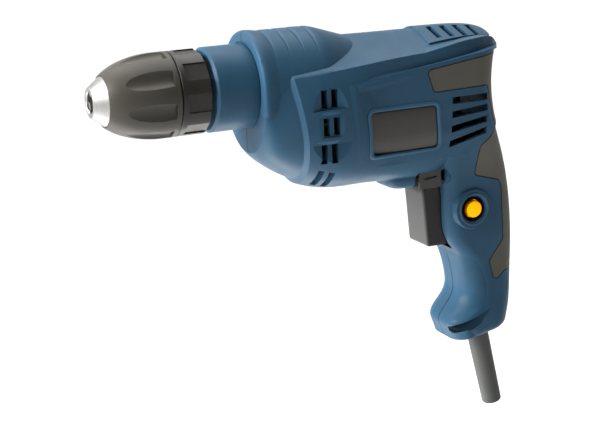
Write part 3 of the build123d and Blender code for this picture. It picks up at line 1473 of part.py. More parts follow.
# Every piece, with the name of its file
pieces = {
    "left_housing_half": left_housing_half,
    "right_housing_half": right_housing_half,
    "left_grip_rubber": left_grip_rubber,
    "right_grip_rubber": right_grip_rubber,
    "side_plate": side_plate,
    "housing_screws": housing_screws,
    "clamping_collar": clamping_collar,
    "gear_plate": gear_plate,
    "fan_baffle": fan_baffle,
    "spindle_front_bearing": spindle_front_bearing,
    "spindle_seal": spindle_seal,
    "spindle_rear_bush": spindle_rear_bush,
    "spindle_shaft": spindle_shaft,
    "retaining_ring": retaining_ring,
    "spindle_gear": spindle_gear,
    "thrust_washer": thrust_washer,
    "chuck_body": chuck_body,
    "chuck_rear_collar": chuck_rear_collar,
    "chuck_screw": chuck_screw,
    "chuck_front_sleeve": chuck_front_sleeve,
    "chuck_nut": chuck_nut,
    **{f"chuck_jaw_{i + 1}": one for i, one in enumerate(jaws)},
    "armature_shaft": armature_shaft,
    "armature_core": armature_core,
    "armature_windings": armature_windings,
    "commutator": commutator,
    "cooling_fan": cooling_fan,
    "armature_front_bearing": armature_front_bearing,
    "armature_rear_bearing": armature_rear_bearing,
    "rear_bearing_boot": rear_bearing_boot,
    "stator_core": stator_core,
    "field_coils": field_coils,
    "brush_holders": brush_holders,
    "carbon_brushes": carbon_brushes,
    "brush_springs": brush_springs,
    "switch_body": switch_body,
    "trigger": trigger,
    "trigger_spring": trigger_spring,
    "lock_button": lock_button,
    "lock_spring": lock_spring,
    "reverse_lever": reverse_lever,
    "capacitor": capacitor,
    "cord_sleeve": cord_sleeve,
    "cord_clamp": cord_clamp,
    "cord_clamp_screws": cord_clamp_screws,
}

os.makedirs("parts", exist_ok=True)
for name, piece in pieces.items():
    piece.part.label = name
    export_step(piece.part, f"parts/{name}.step")
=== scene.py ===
"""Looks of a corded drill: moulded plastic, soft grip rubber, turned steel and the fine details on the CAD solids."""
import json
import math

import bpy
import numpy as np
from mathutils import Matrix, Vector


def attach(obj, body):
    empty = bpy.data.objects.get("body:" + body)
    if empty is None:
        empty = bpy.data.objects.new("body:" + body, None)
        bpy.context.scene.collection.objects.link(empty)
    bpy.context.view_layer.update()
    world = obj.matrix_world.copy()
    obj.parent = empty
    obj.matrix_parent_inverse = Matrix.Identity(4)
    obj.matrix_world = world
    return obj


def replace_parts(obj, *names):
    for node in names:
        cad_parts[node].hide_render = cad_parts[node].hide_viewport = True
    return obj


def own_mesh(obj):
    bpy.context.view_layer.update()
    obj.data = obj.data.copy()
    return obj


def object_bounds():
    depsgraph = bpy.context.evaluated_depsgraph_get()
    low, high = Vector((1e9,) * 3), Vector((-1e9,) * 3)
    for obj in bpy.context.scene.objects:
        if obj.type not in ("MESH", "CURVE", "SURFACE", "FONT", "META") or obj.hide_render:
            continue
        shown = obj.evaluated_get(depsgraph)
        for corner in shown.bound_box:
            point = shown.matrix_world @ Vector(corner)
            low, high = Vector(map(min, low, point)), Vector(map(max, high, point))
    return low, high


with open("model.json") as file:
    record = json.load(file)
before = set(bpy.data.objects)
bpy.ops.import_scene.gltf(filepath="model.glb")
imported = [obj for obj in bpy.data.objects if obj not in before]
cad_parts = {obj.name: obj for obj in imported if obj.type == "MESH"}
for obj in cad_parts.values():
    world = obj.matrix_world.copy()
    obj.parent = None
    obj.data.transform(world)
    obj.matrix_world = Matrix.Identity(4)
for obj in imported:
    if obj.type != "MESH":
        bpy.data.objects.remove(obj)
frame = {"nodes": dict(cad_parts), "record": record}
cad_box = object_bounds()
nodes = frame["nodes"]

MM = 0.001
TURN = 2 * math.pi
QUARTER = math.pi / 2

# The photograph's view: azimuth, elevation and roll in degrees, and the picture's width and height in pixels
VIEW = (-24.0, 14.0, 2.5)
PICTURE = (600, 424)

# Places that several pieces share, in millimetres
MOTOR_Z = -20.15
BUTTON_X, BUTTON_Z = 131.8, -77.4
FLAT_SIDE = 31.0


# Camera at the photograph's angle
def camera_axes(azimuth, elevation, roll):
    """Right, up and back directions of a camera that looks at the object from an azimuth and elevation, then rolls."""
    a, e, t = (math.radians(v) for v in (azimuth, elevation, roll))
    back = np.array([math.sin(a) * math.cos(e), -math.cos(a) * math.cos(e), math.sin(e)])
    level = np.array([math.cos(a), math.sin(a), 0.0])
    rise = np.cross(back, level)
    right = math.cos(t) * level - math.sin(t) * rise
    up = math.sin(t) * level + math.cos(t) * rise
    return right, up, back


def placed(right, up, back, spot):
    """Matrix of an object at a spot with these axes."""
    turn = np.eye(4)
    turn[:3, 0], turn[:3, 1], turn[:3, 2], turn[:3, 3] = right, up, back, spot
    return Matrix(turn.tolist())


def shown(name, data):
    """Object of some data, put into the scene."""
    made = bpy.data.objects.new(name, data)
    bpy.context.scene.collection.objects.link(made)
    return made


def place_camera():
    """Camera whose view puts the middle of the collar at its place in the picture."""
    lens, sensor, depth = 90.0, 36.0, 0.75377
    collar, collar_pixel = np.array([-1.15 * MM, 0.0, 0.0]), (223.0, 88.0)
    right, up, back = camera_axes(*VIEW)
    width, height = PICTURE
    pixels = width * lens / sensor
    x = (collar_pixel[0] - width / 2) / pixels
    y = (height / 2 - collar_pixel[1]) / pixels
    data = bpy.data.cameras.new("camera")
    data.lens = lens
    data.sensor_width = sensor
    data.clip_start = 0.01
    data.clip_end = 20.0
    camera = shown("camera", data)
    camera.matrix_world = placed(right, up, back, collar - depth * (x * right + y * up - back))
    bpy.context.scene.camera = camera


place_camera()


# Materials
GRAIN, GRAIN_DEPTH = 2600.0, 0.00004  # spark-eroded grain, in cells per metre and metres
CLOUD, EDGE_WEAR_AND_HIGHLIGHT, SMEAR = 45.0, 210.0, 160.0  # cells per metre of the cloud in a colour, of the lighter spots on edges, partly wear and partly a painted highlight, and of changes in gloss
SEAM_SHADOW_EDGE, SEAM_SHADOW_END = 0.0003, 0.00042  # metres from the middle plane over which the painted shadow line where the halves meet runs out


class Finish:
    """One procedural material: a Principled shader with helpers that add nodes to it."""

    def __init__(self, name):
        self.material = bpy.data.materials.get(name) or bpy.data.materials.new(name)
        self.material.use_nodes = True
        self.tree = self.material.node_tree
        self.shader = self.tree.nodes["Principled BSDF"]
        self.coords = self.tree.nodes.new("ShaderNodeTexCoord").outputs["Object"]

    def node(self, kind, **inputs):
        """Node of a kind with its inputs fed by name."""
        made = self.tree.nodes.new(kind)
        for key, value in inputs.items():
            self.feed(made.inputs[key.replace("_", " ")], value)
        return made

    def feed(self, socket, value):
        """Link or set one socket."""
        if isinstance(value, bpy.types.NodeSocket):
            self.tree.links.new(value, socket)
        else:
            socket.default_value = value

    def sum(self, kind, *values):
        """Result of a math node of a kind on one or two values."""
        made = self.tree.nodes.new("ShaderNodeMath")
        made.operation = kind
        for socket, value in zip(made.inputs, values):
            self.feed(socket, value)
        return made.outputs["Value"]

    def noise(self, scale, detail=2.0, stretch=None):
        """Noise on the object's own coordinates, at a scale in cells per metre, stretched along its axes."""
        at = self.coords
        if stretch:
            at = self.node("ShaderNodeMapping", Vector=at, Scale=stretch).outputs["Vector"]
        return self.node("ShaderNodeTexNoise", Vector=at, Scale=scale, Detail=detail).outputs["Fac"]

    def axis(self, name):
        """One of the object's own coordinates."""
        return self.node("ShaderNodeSeparateXYZ", Vector=self.coords).outputs[name]

    def normal(self):
        """Direction of the surface."""
        return self.tree.nodes.new("ShaderNodeNewGeometry").outputs["Normal"]

    def facing(self, name):
        """One coordinate of the surface's direction."""
        return self.node("ShaderNodeSeparateXYZ", Vector=self.normal()).outputs[name]

    def body(self):
        """Colour that the shader has so far."""
        return self.shader.inputs["Base Color"].links[0].from_socket

    def ramp(self, value, low, high, start=0.3, end=0.7):
        """Colour between two colours as a value goes from start to end."""
        made = self.node("ShaderNodeValToRGB", Fac=value)
        for element, position, colour in zip(made.color_ramp.elements, (start, end), (low, high)):
            element.position = position
            element.color = colour
        return made.outputs["Color"]

    def span(self, value, low, high, start=0.3, end=0.7):
        """Number between two numbers as a value goes from start to end."""
        made = self.node("ShaderNodeMapRange", Value=value, From_Min=start, From_Max=end, To_Min=low, To_Max=high)
        return made.outputs["Result"]

    def mix(self, share, first, second):
        """First colour where the share is 0, second where it is 1."""
        made = self.tree.nodes.new("ShaderNodeMix")
        made.data_type = "RGBA"
        colours = [socket for socket in made.inputs if socket.type == "RGBA"]
        self.feed(made.inputs["Factor"], share)
        self.feed(colours[0], first)
        self.feed(colours[1], second)
        return next(socket for socket in made.outputs if socket.type == "RGBA")

    def crevice_shade(self, reach, depth=0.1):
        """Share of open air round a point within a reach, down to a depth's share in a groove and 1 on an open face:
        the share by which colours are darkened as painted shade.
        """
        made = self.node("ShaderNodeAmbientOcclusion", Distance=reach)
        made.samples = 8
        return self.span(made.outputs["AO"], depth, 1.0, 0.2, 0.75)

    def edges(self, radius):
        """Normal that rounds the edges by a radius, and the share by which a point lies on such an edge."""
        made = self.node("ShaderNodeBevel", Radius=radius)
        made.samples = 4
        turned_by = self.tree.nodes.new("ShaderNodeVectorMath")
        turned_by.operation = "DOT_PRODUCT"
        self.feed(turned_by.inputs[0], made.outputs["Normal"])
        self.feed(turned_by.inputs[1], self.normal())
        return made.outputs["Normal"], self.span(turned_by.outputs["Value"], 1.0, 0.0, 0.75, 0.99)

    def bump(self, height, strength, distance, normal=None):
        """Relief from a height, on the surface's own normal or a given one."""
        made = self.node("ShaderNodeBump", Height=height, Strength=strength, Distance=distance)
        if normal:
            self.feed(made.inputs["Normal"], normal)
        self.feed(self.shader.inputs["Normal"], made.outputs["Normal"])

    def set(self, **values):
        """Set the shader's sockets by name."""
        for key, value in values.items():
            self.feed(self.shader.inputs[key.replace("_", " ")], value)
        return self.material


def shade(colour, level):
    """Colour made lighter or darker."""
    return tuple(min(1.0, level * part) for part in colour)


def paint(colour, level=1.0):
    """Colour made lighter or darker, as the four numbers of a colour socket."""
    return (*shade(colour, level), 1.0)


def moulded(
    name, colour, roughness, grain=GRAIN, depth=GRAIN_DEPTH, specular=0.3, edge=0.3, seam_shadow=False, outline=False,
    reach=1.3,
):
    """Moulded plastic or rubber: fine grain, a faint cloud in colour and gloss, painted shade in crevices, and edges
    lighter in spots, partly wear and partly a painted highlight.

    Optionally, a painted shadow line runs where the two halves meet. With an outline, shade is painted dark along the
    piece's edges.
    The edge's radius and the crevices' reach are in millimetres.
    """
    finish = Finish(name)
    body = finish.ramp(finish.noise(CLOUD, 3.0), paint(colour, 0.92), paint(colour, 1.08))
    normal, rim = finish.edges(edge * MM)
    # With an outline, shade is painted dark along the piece's edges.
    if outline:
        body = finish.mix(rim, body, paint(colour, 0.06))
    else:
        # Lighter spots on the edges: partly wear, partly a painted highlight.
        spots = finish.span(finish.noise(EDGE_WEAR_AND_HIGHLIGHT, 4.0), 0.0, 0.35, 0.42, 0.62)
        body = finish.mix(finish.sum("MULTIPLY", rim, spots), body, paint(colour, 1.6))
    # Painted shade: the colour darkens in crevices and grooves within the reach.
    unshaded_share = finish.crevice_shade(reach * MM)
    # Painted shadow line along the middle plane, where the two halves meet.
    if seam_shadow:
        off_middle = finish.sum("ABSOLUTE", finish.axis("Y"))
        unshaded_share = finish.sum("MULTIPLY", unshaded_share, finish.span(off_middle, 0.03, 1.0, SEAM_SHADOW_EDGE, SEAM_SHADOW_END))
    body = finish.mix(unshaded_share, paint(colour, 0.08), body)
    finish.bump(finish.noise(grain), 0.35, depth, normal)
    gloss = finish.span(finish.noise(SMEAR, 3.0), roughness - 0.04, roughness + 0.05)
    return finish.set(Base_Color=body, Roughness=gloss, Specular_IOR_Level=specular)


def front_lit_plastic(name, colour, front_lit_colour, roughness, specular):
    """Moulded plastic whose faces that point forward are painted paler, as a painted light from the front."""
    moulded(name, colour, roughness, specular=specular, edge=0.2)
    finish = Finish(name)
    # Painted light: paler where the surface faces forward.
    front_light_share = finish.span(finish.facing("X"), 1.0, 0.0, -0.95, -0.45)
    return finish.set(Base_Color=finish.mix(front_light_share, finish.body(), paint(front_lit_colour)))


def satin_plate(name, colour, dark, low, high):
    """Satin plate with a painted reflection that runs from its own colour at a low height to a darker one at a high
    one, and painted shade along its edges.
    """
    moulded(name, colour, 0.38, 3600.0, 0.00002, specular=0.25, edge=0.8, outline=True)
    finish = Finish(name)
    # Painted reflection: darker towards the top.
    share = finish.span(finish.axis("Z"), 0.0, 1.0, low, high)
    return finish.set(Base_Color=finish.mix(share, finish.body(), paint(dark)))


def lit_face(name, colour, glow, strength):
    """Bright orange plastic whose face to the left glows with painted light, though the button is no lamp."""
    moulded(name, colour, 0.38, 1500.0, 0.00002, specular=0.05, edge=0.4)
    finish = Finish(name)
    # Painted light: emission on the faces that point to the left.
    share = finish.span(finish.facing("Y"), strength, 0.0, -0.95, -0.6)
    return finish.set(Emission_Color=paint(glow), Emission_Strength=share)


def turned_metal(name, colour, roughness, stretch, grain=900.0, depth=0.00002):
    """Turned or drawn metal: fine lines that run round or along the piece, in its colour, gloss and relief, with a
    painted highlight on its edges and painted shade in its crevices.
    """
    finish = Finish(name)
    lines = finish.noise(grain, stretch=stretch)
    normal, rim = finish.edges(0.15 * MM)
    body = finish.ramp(lines, paint(colour, 0.85), paint(colour, 1.12))
    # Painted highlight: the edges are lighter.
    body = finish.mix(finish.sum("MULTIPLY", rim, 0.5), body, paint(colour, 1.35))
    # Painted shade: the colour darkens in crevices.
    body = finish.mix(finish.crevice_shade(0.8 * MM, 0.25), paint(colour, 0.2), body)
    finish.bump(lines, 0.25, depth, normal)
    gloss = finish.span(finish.noise(120.0, 3.0), roughness - 0.05, roughness + 0.07)
    return finish.set(Base_Color=body, Metallic=1.0, Roughness=gloss)


def stacked_sheets(name, colour, pitch):
    """Steel sheets stacked along the motor: dark joints at a pitch, with a slight change from sheet to sheet."""
    finish = Finish(name)
    across = finish.sum("FRACT", finish.sum("DIVIDE", finish.axis("X"), pitch))
    joint = finish.span(finish.sum("ABSOLUTE", finish.sum("SUBTRACT", across, 0.5)), 1.0, 0.0, 0.3, 0.48)
    sheets = finish.noise(2.0 / pitch, 1.0, (1.0, 0.002, 0.002))
    body = finish.ramp(sheets, paint(colour, 0.8), paint(colour, 1.15))
    body = finish.mix(joint, paint(colour, 0.3), body)
    finish.bump(joint, 0.5, 0.1 * MM)
    gloss = finish.span(finish.noise(300.0, 3.0), 0.38, 0.52)
    return finish.set(Base_Color=body, Metallic=1.0, Roughness=gloss)


def hollow_shade(name, colour, start, end):
    """Plastic of a hollow with painted shade: dark at its closed end and running out along X to the open colour."""
    finish = Finish(name)
    depth = finish.span(finish.axis("X"), 0.0, 1.0, start, end)
    # Painted shade, darkest at the hollow's closed end.
    body = finish.mix(depth, paint(colour, 0.02), paint(colour, 0.7))
    finish.bump(finish.noise(GRAIN), 0.3, GRAIN_DEPTH)
    gloss = finish.span(finish.noise(SMEAR, 3.0), 0.5, 0.6)
    return finish.set(Base_Color=body, Roughness=gloss, Specular_IOR_Level=0.02)


slate = (0.0192, 0.0575, 0.099)
round_x, even, long_y, long_x = (6.0, 0.6, 0.6), (1.0, 1.0, 1.0), (1.0, 6.0, 1.0), (6.0, 1.0, 1.0)
materials = {
    "housing_plastic": moulded("housing_plastic", slate, 0.42, specular=0.10, seam_shadow=True, edge=0.35),
    "collar_plastic": moulded("collar_plastic", slate, 0.42, specular=0.10, edge=0.35),
    # Painted light: a lighter copy of the housing's slate for the raised frame round the plate, the bezel's slope and
    # the bars between the air slots.
    "frame_plastic_lit": moulded("frame_plastic_lit", shade(slate, 1.22), 0.40, specular=0.14, edge=0.35),
    "toe_shade": hollow_shade("toe_shade", slate, 122 * MM, 137 * MM),
    "soft_grip": moulded(
        "soft_grip", (0.058, 0.055, 0.044), 0.62, 3200.0, 0.00005, specular=0.25, edge=0.85, outline=True
    ),
    "plate": satin_plate("plate", (0.046, 0.043, 0.038), (0.013, 0.011, 0.010), -36 * MM, -14 * MM),
    "dark_plastic": moulded("dark_plastic", (0.036, 0.034, 0.032), 0.48),
    # The trigger's front is paler by painted light.
    "trigger_plastic": front_lit_plastic("trigger_plastic", (0.010, 0.0095, 0.009), (0.046, 0.046, 0.045), 0.32, 0.22),
    "chuck_ring": moulded("chuck_ring", (0.017, 0.0155, 0.013), 0.36, specular=0.2),
    "chuck_plastic": moulded("chuck_plastic", (0.040, 0.0365, 0.0305), 0.40, specular=0.15, reach=6.0),
    "orange_plastic": lit_face("orange_plastic", (1.0, 0.39, 0.001), (1.0, 0.28, 0.0), 0.85),
    "capacitor_case": moulded("capacitor_case", (0.48, 0.33, 0.06), 0.4),
    "sleeve_rubber": moulded("sleeve_rubber", (0.050, 0.052, 0.049), 0.6, 3000.0, specular=0.2),
    # Painted shade: near-black for the shade inside the button's well and the housing.
    "hole_shade_black": moulded("hole_shade_black", (0.003, 0.003, 0.003), 0.75, specular=0.03),
    "black_rubber": moulded("black_rubber", (0.016, 0.016, 0.016), 0.65),
    "carbon": moulded("carbon", (0.020, 0.020, 0.023), 0.55, 1800.0, 0.00006),
    "chuck_steel": turned_metal("chuck_steel", (0.262, 0.259, 0.249), 0.44, round_x),
    "bearing_steel": turned_metal("bearing_steel", (0.54, 0.54, 0.54), 0.28, round_x),
    "spring_steel": turned_metal("spring_steel", (0.43, 0.43, 0.43), 0.35, (2.0, 2.0, 2.0)),
    "screw_steel": turned_metal("screw_steel", (0.14, 0.14, 0.15), 0.4, long_y),
    "core_steel": stacked_sheets("core_steel", (0.27, 0.27, 0.28), 0.6 * MM),
    "cast_alloy": turned_metal("cast_alloy", (0.55, 0.55, 0.56), 0.5, even, 400.0, 0.00005),
    "bronze": turned_metal("bronze", (0.48, 0.33, 0.14), 0.4, even),
    "copper": turned_metal("copper", (0.62, 0.26, 0.14), 0.32, long_x),
}


variants = {"clamping_collar": "collar_plastic", "chuck_rear_collar": "chuck_ring"}
slots = {row["node"]: row["material_slot"] for row in frame["record"]["subparts"]}
for name, node in nodes.items():
    node.data.materials.clear()
    node.data.materials.append(materials[variants.get(name, slots[name])])


# Fine pieces on the solids, in millimetres
def closed_skin(rings, ends):
    """Points, quads and triangles of a skin of rings that are joined one to the next, with its faces outward.

    The ends loop round to each other, close to poles, or, for a thin shell, join its outer to its inner side as rungs.
    """
    count, around = rings.shape[:2]
    here = np.arange(around)
    after = np.roll(here, -1)
    low = np.arange(count if ends == "loop" else count - 1)[:, None] * around
    high = (low + around) % (count * around)
    quads = np.stack([low + here, low + after, high + after, high + here], -1).reshape(-1, 4)
    points = rings.reshape(-1, 3)
    last = (count - 1) * around
    fans = np.empty((0, 3), int)
    if ends == "poles":
        points = np.concatenate([points, rings[[0, -1]].mean(1)])
        near = np.stack([after, here, np.full(around, count * around)], -1)
        far = np.stack([last + here, last + after, np.full(around, count * around + 1)], -1)
        fans = np.concatenate([near, far])
    if ends == "rungs":
        step = np.arange(around // 2 - 1)
        near = np.stack([step + 1, step, around - 1 - step, around - 2 - step], -1)
        quads = np.concatenate([quads, near, last + near[:, ::-1]])
    flat = np.concatenate([quads[:, [0, 1, 2]], quads[:, [0, 2, 3]], fans])
    a, b, c = (points[flat[:, i]] - points.mean(0) for i in range(3))
    outward = slice(None) if np.sum(a * np.cross(b, c)) > 0 else slice(None, None, -1)
    return points, quads[:, outward], fans[:, outward]


def piece(name, skins, body, finish, crease=40.0):
    """Object of closed skins that rides on a body, a finish and edges sharp past a crease."""
    spots, faces, start = [], [], 0
    for rings, ends in skins:
        points, quads, fans = closed_skin(rings, ends)
        faces += (start + quads).tolist() + (start + fans).tolist()
        spots.append(points)
        start += len(points)
    mesh = bpy.data.meshes.new(name)
    mesh.from_pydata((np.concatenate(spots) * MM).tolist(), [], faces)
    mesh.polygons.foreach_set("use_smooth", np.ones(len(faces), bool))
    mesh.set_sharp_from_angle(angle=math.radians(crease))
    mesh.materials.append(materials[finish])
    made = shown(name, mesh)
    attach(made, body)
    return made


def grid(x, y, z):
    """Grid of points from coordinates that each vary along one or both of its directions."""
    return np.stack(np.broadcast_arrays(x, y, z), -1)


def both_sides(rings, ends):
    """A skin and its mirror image across the middle plane."""
    return [(rings, ends), (rings * (1, -1, 1), ends)]


def unit(way):
    """Direction of length one, or several of them."""
    return way / np.linalg.norm(way, axis=-1, keepdims=True)


def turned(profile, centre, axis, around=64):
    """Rings of a profile of radius and height turned round an axis through a centre."""
    radius, height = np.array(profile, float).T[:, :, None]
    angle = np.linspace(0, TURN, around, endpoint=False)
    across = np.roll(np.eye(3), -axis - 1, axis=0)
    ring = np.cos(angle)[:, None] * across[0] + np.sin(angle)[:, None] * across[1]
    return np.array(centre) + radius[..., None] * ring + height[..., None] * across[2]


def coil(start, end, radius, wire, turns):
    """Round wire carried along a helix between two points: the angle grows evenly with the way along the axis."""
    start, end = np.array(start, float), np.array(end, float)
    length = np.linalg.norm(end - start)
    axis = (end - start) / length
    side = np.cross(axis, np.roll(axis, 1))
    other = np.cross(axis, side)
    share = np.linspace(0, 1, int(turns * 32))[:, None]
    radial = np.cos(TURN * turns * share) * side + np.sin(TURN * turns * share) * other
    path = start + axis * (wire / 2 + (length - wire) * share) + radial * (radius - wire / 2)
    section = np.linspace(0, TURN, 14, endpoint=False)[None, :, None]
    return path[:, None] + wire / 2 * (np.cos(section) * radial[:, None] + np.sin(section) * axis)


def smooth(value):
    """0 below 0, 1 above 1 and an even rise between them."""
    value = np.clip(value, 0, 1)
    return value * value * (3 - 2 * value)


def bend(past, reach):
    """0 before a bend and the way past it after, rounded over a reach on both sides."""
    return np.where(np.abs(past) < reach, (past + reach) ** 2 / (4 * reach), np.maximum(past, 0))


def curve(at, knots, values):
    """Smooth curve through knots in rising order: a cubic between each two, with slopes from their neighbours."""
    knots, values = np.array(knots, float), np.array(values, float)
    slopes = np.gradient(values, knots)
    i = np.clip(np.searchsorted(knots, at) - 1, 0, len(knots) - 2)
    gap = knots[i + 1] - knots[i]
    s = np.clip((at - knots[i]) / gap, 0, 1)
    rise = values[i] * (1 + 2 * s) * (1 - s) ** 2 + values[i + 1] * s**2 * (3 - 2 * s)
    return rise + gap * (slopes[i] * s * (1 - s) ** 2 - slopes[i + 1] * s**2 * (1 - s))


def on_line(at, line):
    """Smooth curve through a line of pairs of knot and value."""
    return curve(at, *zip(*line))


def rounded_loop(corners, radius, straight=24, arc=14):
    """Closed path with rounded corners, and its outward direction, from straight runs and arcs between them."""
    corners = np.array(corners, float)
    runs, normals = [], []
    for before, corner, after in zip(np.roll(corners, 1, 0), corners, np.roll(corners, -1, 0)):
        back, on = unit(before - corner), unit(after - corner)
        half = math.acos(np.dot(back, on)) / 2
        middle = corner + unit(back + on) * radius / math.sin(half)
        first = corner + back * radius / math.tan(half) - middle
        last = corner + on * radius / math.tan(half) - middle
        share = np.linspace(0, 1, arc)[:, None]
        out = unit(first * (1 - share) + last * share)
        runs.append(middle + radius * out)
        normals.append(out)
    points, ways = [], []
    for run, way, following in zip(runs, normals, runs[1:] + runs[:1]):
        share = np.linspace(0, 1, straight)[1:-1, None]
        points += [run, run[-1] * (1 - share) + following[0] * share]
        ways += [way, np.repeat(way[-1:], straight - 2, 0)]
    return np.concatenate(points), np.concatenate(ways)


def pad_side(z):
    """Distance of the flat side from the middle plane at a height: upright, then leaning in at two rounded bends."""
    first_bend, second_bend = bend(-18.0 - z, 1.28), bend(-32.0 - z, 2.7)
    return FLAT_SIDE - 0.1286 * first_bend - 0.2286 * second_bend


def flank(x, z):
    """Distance of the main body's flank from the middle plane behind the air slots: two level curves, joined evenly."""
    heights = [-52.0, -50.0, -46.0, -42.0, -36.0, -28.0, -20.0, -12.0, -6.0, 0.0, 4.0]
    front_x, rear_x = 56.0, 66.0
    front = curve(z, heights, [19.4, 21.75, 25.43, 28.05, 30.75, 32.68, 33.22, 32.9, 32.15, 31.0, 30.01])
    rear = curve(z, heights, [19.0, 21.23, 24.65, 27.06, 29.46, 31.17, 31.85, 31.48, 31.03, 30.3, 29.64])
    return front + (rear - front) * (x - front_x) / (rear_x - front_x)


def plate_rim():
    """Raised frame round the side plate: a flat ellipse carried round a rounded outline, laid on the flat side."""
    outline = [(64.2, -14.8), (104.7, -14.8), (107.7, -40.1), (66.7, -40.1)]
    corner, half_width, height = 3.0, 1.05, 0.75
    path, out = rounded_loop(outline, corner)
    angle = np.linspace(0, TURN, 20, endpoint=False)
    flat = path[:, None] + out[:, None] * half_width * np.cos(angle)[:, None]
    x, z = flat[..., 0], flat[..., 1]
    rings = grid(x, -np.maximum(pad_side(z), flank(x, z)) - height * np.sin(angle), z)
    piece("plate_rim", [(rings, "loop")], "housing", "frame_plastic_lit")


def lock_set():
    """Turned button with a soft edge, the near-black ring round it, which is painted shade in its well, and the sloping
    inside of its bezel.
    """
    centre = (BUTTON_X, 0.0, BUTTON_Z)
    button = [
        (0.4, -20.98), (2.0, -20.95), (3.2, -20.86), (4.0, -20.66), (4.42, -20.36), (4.6, -19.9), (4.6, -15.4),
        (6.5, -15.4), (6.5, -14.4), (2.5, -14.4), (2.5, -12.2),
    ]
    lining = [(5.0, -17.1), (5.0, -18.1), (5.4, -18.45), (6.8, -18.9), (7.3, -19.1), (7.3, -17.1)]
    slope = [
        (6.9, -17.1), (6.9, -18.9), (7.05, -19.2), (8.3, -20.62), (8.5, -20.75), (8.75, -20.7), (9.1, -20.3),
        (9.1, -17.1),
    ]
    made = piece("lock_button_cap", [(turned(button, centre, 1), "poles")], "lock", "orange_plastic")
    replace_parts(made, "lock_button")
    piece("button_ring", [(turned(lining, centre, 1), "loop")], "housing", "hole_shade_black")
    piece("bezel_slope", [(turned(slope, centre, 1), "loop")], "housing", "frame_plastic_lit")


def springs():
    """Wound wire springs in place of the plain tubes."""
    wound = coil((113.05, 0, -79), (126.95, 0, -79), radius=5.0, wire=1.4, turns=5)
    made = piece("trigger_coil", [(wound, "poles")], "housing", "spring_steel")
    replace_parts(made, "trigger_spring")
    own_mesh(made)
    front, back = ((BUTTON_X, y, BUTTON_Z) for y in (-14.35, -11.55))
    wound = coil(front, back, radius=4.0, wire=0.5, turns=2.5)
    made = piece("lock_coil", [(wound, "poles")], "housing", "spring_steel")
    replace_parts(made, "lock_spring")
    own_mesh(made)
    brush_x, inner_y, outer_y = 104.9, 21.98, 25.98
    ends = [((brush_x, side * inner_y, MOTOR_Z), (brush_x, side * outer_y, MOTOR_Z)) for side in (-1, 1)]
    pair = [(coil(*end, radius=2.4, wire=0.7, turns=4), "poles") for end in ends]
    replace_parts(piece("brush_coils", pair, "housing", "spring_steel"), "brush_springs")


def housing_screw(place):
    """Threaded screw from the right: radius as a function of height and angle, with a cross sunk into its head."""
    tip, seat, top = -9.0, 9.0, 11.2
    shank_radius, pitch, thread_depth, plain_length = 1.5, 1.5, 0.2, 3.0
    cross_reach, cross_slim, cross_depth = 1.75, 3.4, 1.1
    shank = np.linspace(tip + 0.8, seat - 0.2, 74)
    height = np.concatenate([[tip, tip + 0.4], shank, [seat, seat, 9.4, 10.2, 10.7, 11.0], np.full(16, top)])
    radius = np.concatenate([
        [0.4, 1.0], np.full(74, shank_radius), [shank_radius, 2.7, 2.7, 2.7, 2.55, 2.3], np.linspace(2.1, 0.06, 16),
    ])
    h, a = height[:, None], np.linspace(0, TURN, 48, endpoint=False)[None]
    wave = 0.5 - 0.5 * np.cos(TURN * h / pitch - a)
    r = radius[:, None] - thread_depth * wave * smooth((seat - plain_length - h) / 2) * (h > tip + 0.5)
    x, z = r * np.cos(a), r * np.sin(a)
    level, upright = np.abs(x), np.abs(z)
    wing = np.minimum(np.maximum(level, upright * cross_slim), np.maximum(upright, level * cross_slim))
    sunk = cross_depth * smooth((cross_reach - wing) / 0.35) * (h >= top)
    return grid(place[0] + x, h - sunk, place[1] + z), "poles"


def screws():
    """The eight screws that hold the halves together."""
    places = [(18, 21.8), (18, -30.5), (54, 13.5), (54, -51), (98, 13.5), (124, -48), (138, -112), (130, -142)]
    made = piece("threaded_screws", [housing_screw(p) for p in places], "housing", "screw_steel", 30.0)
    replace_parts(made, "housing_screws")


def rounded_front(way, front, half, corner, z):
    """Point and outward direction on a level section: flat front, round corner, flat side.

    The way is measured round the section from the middle of the front, and its sign picks the side.
    """
    far = np.abs(way)
    turn = np.clip((far - half + corner) / corner, 0, QUARTER)
    straight = np.maximum(0, far - half + corner - corner * QUARTER)
    side = np.where(way < 0, -1.0, 1.0)
    x = front + corner * (1 - np.cos(turn)) + straight
    y = side * (np.minimum(far, half - corner) + corner * np.sin(turn))
    return grid(x, y, z), grid(-np.cos(turn), side * np.sin(turn), 0.0)


def lip_height(far):
    """Height of the lip's crest over the toe, which rises towards the back."""
    return -145.6 + 0.2 * far + 0.006 * far**2


def pocket_low(far):
    """Height of the lower edge of the hollow under the lip."""
    return curve(far, [8.0, 12.0, 14.0, 21.5, 27.0, 34.0], [-147.2, -148.9, -148.4, -145.9, -143.5, -138.8])


def toe_floor(x):
    """Height of the grip's underside, which slopes up evenly to the back."""
    return -149.7 + 0.2107 * (x - 140.0)


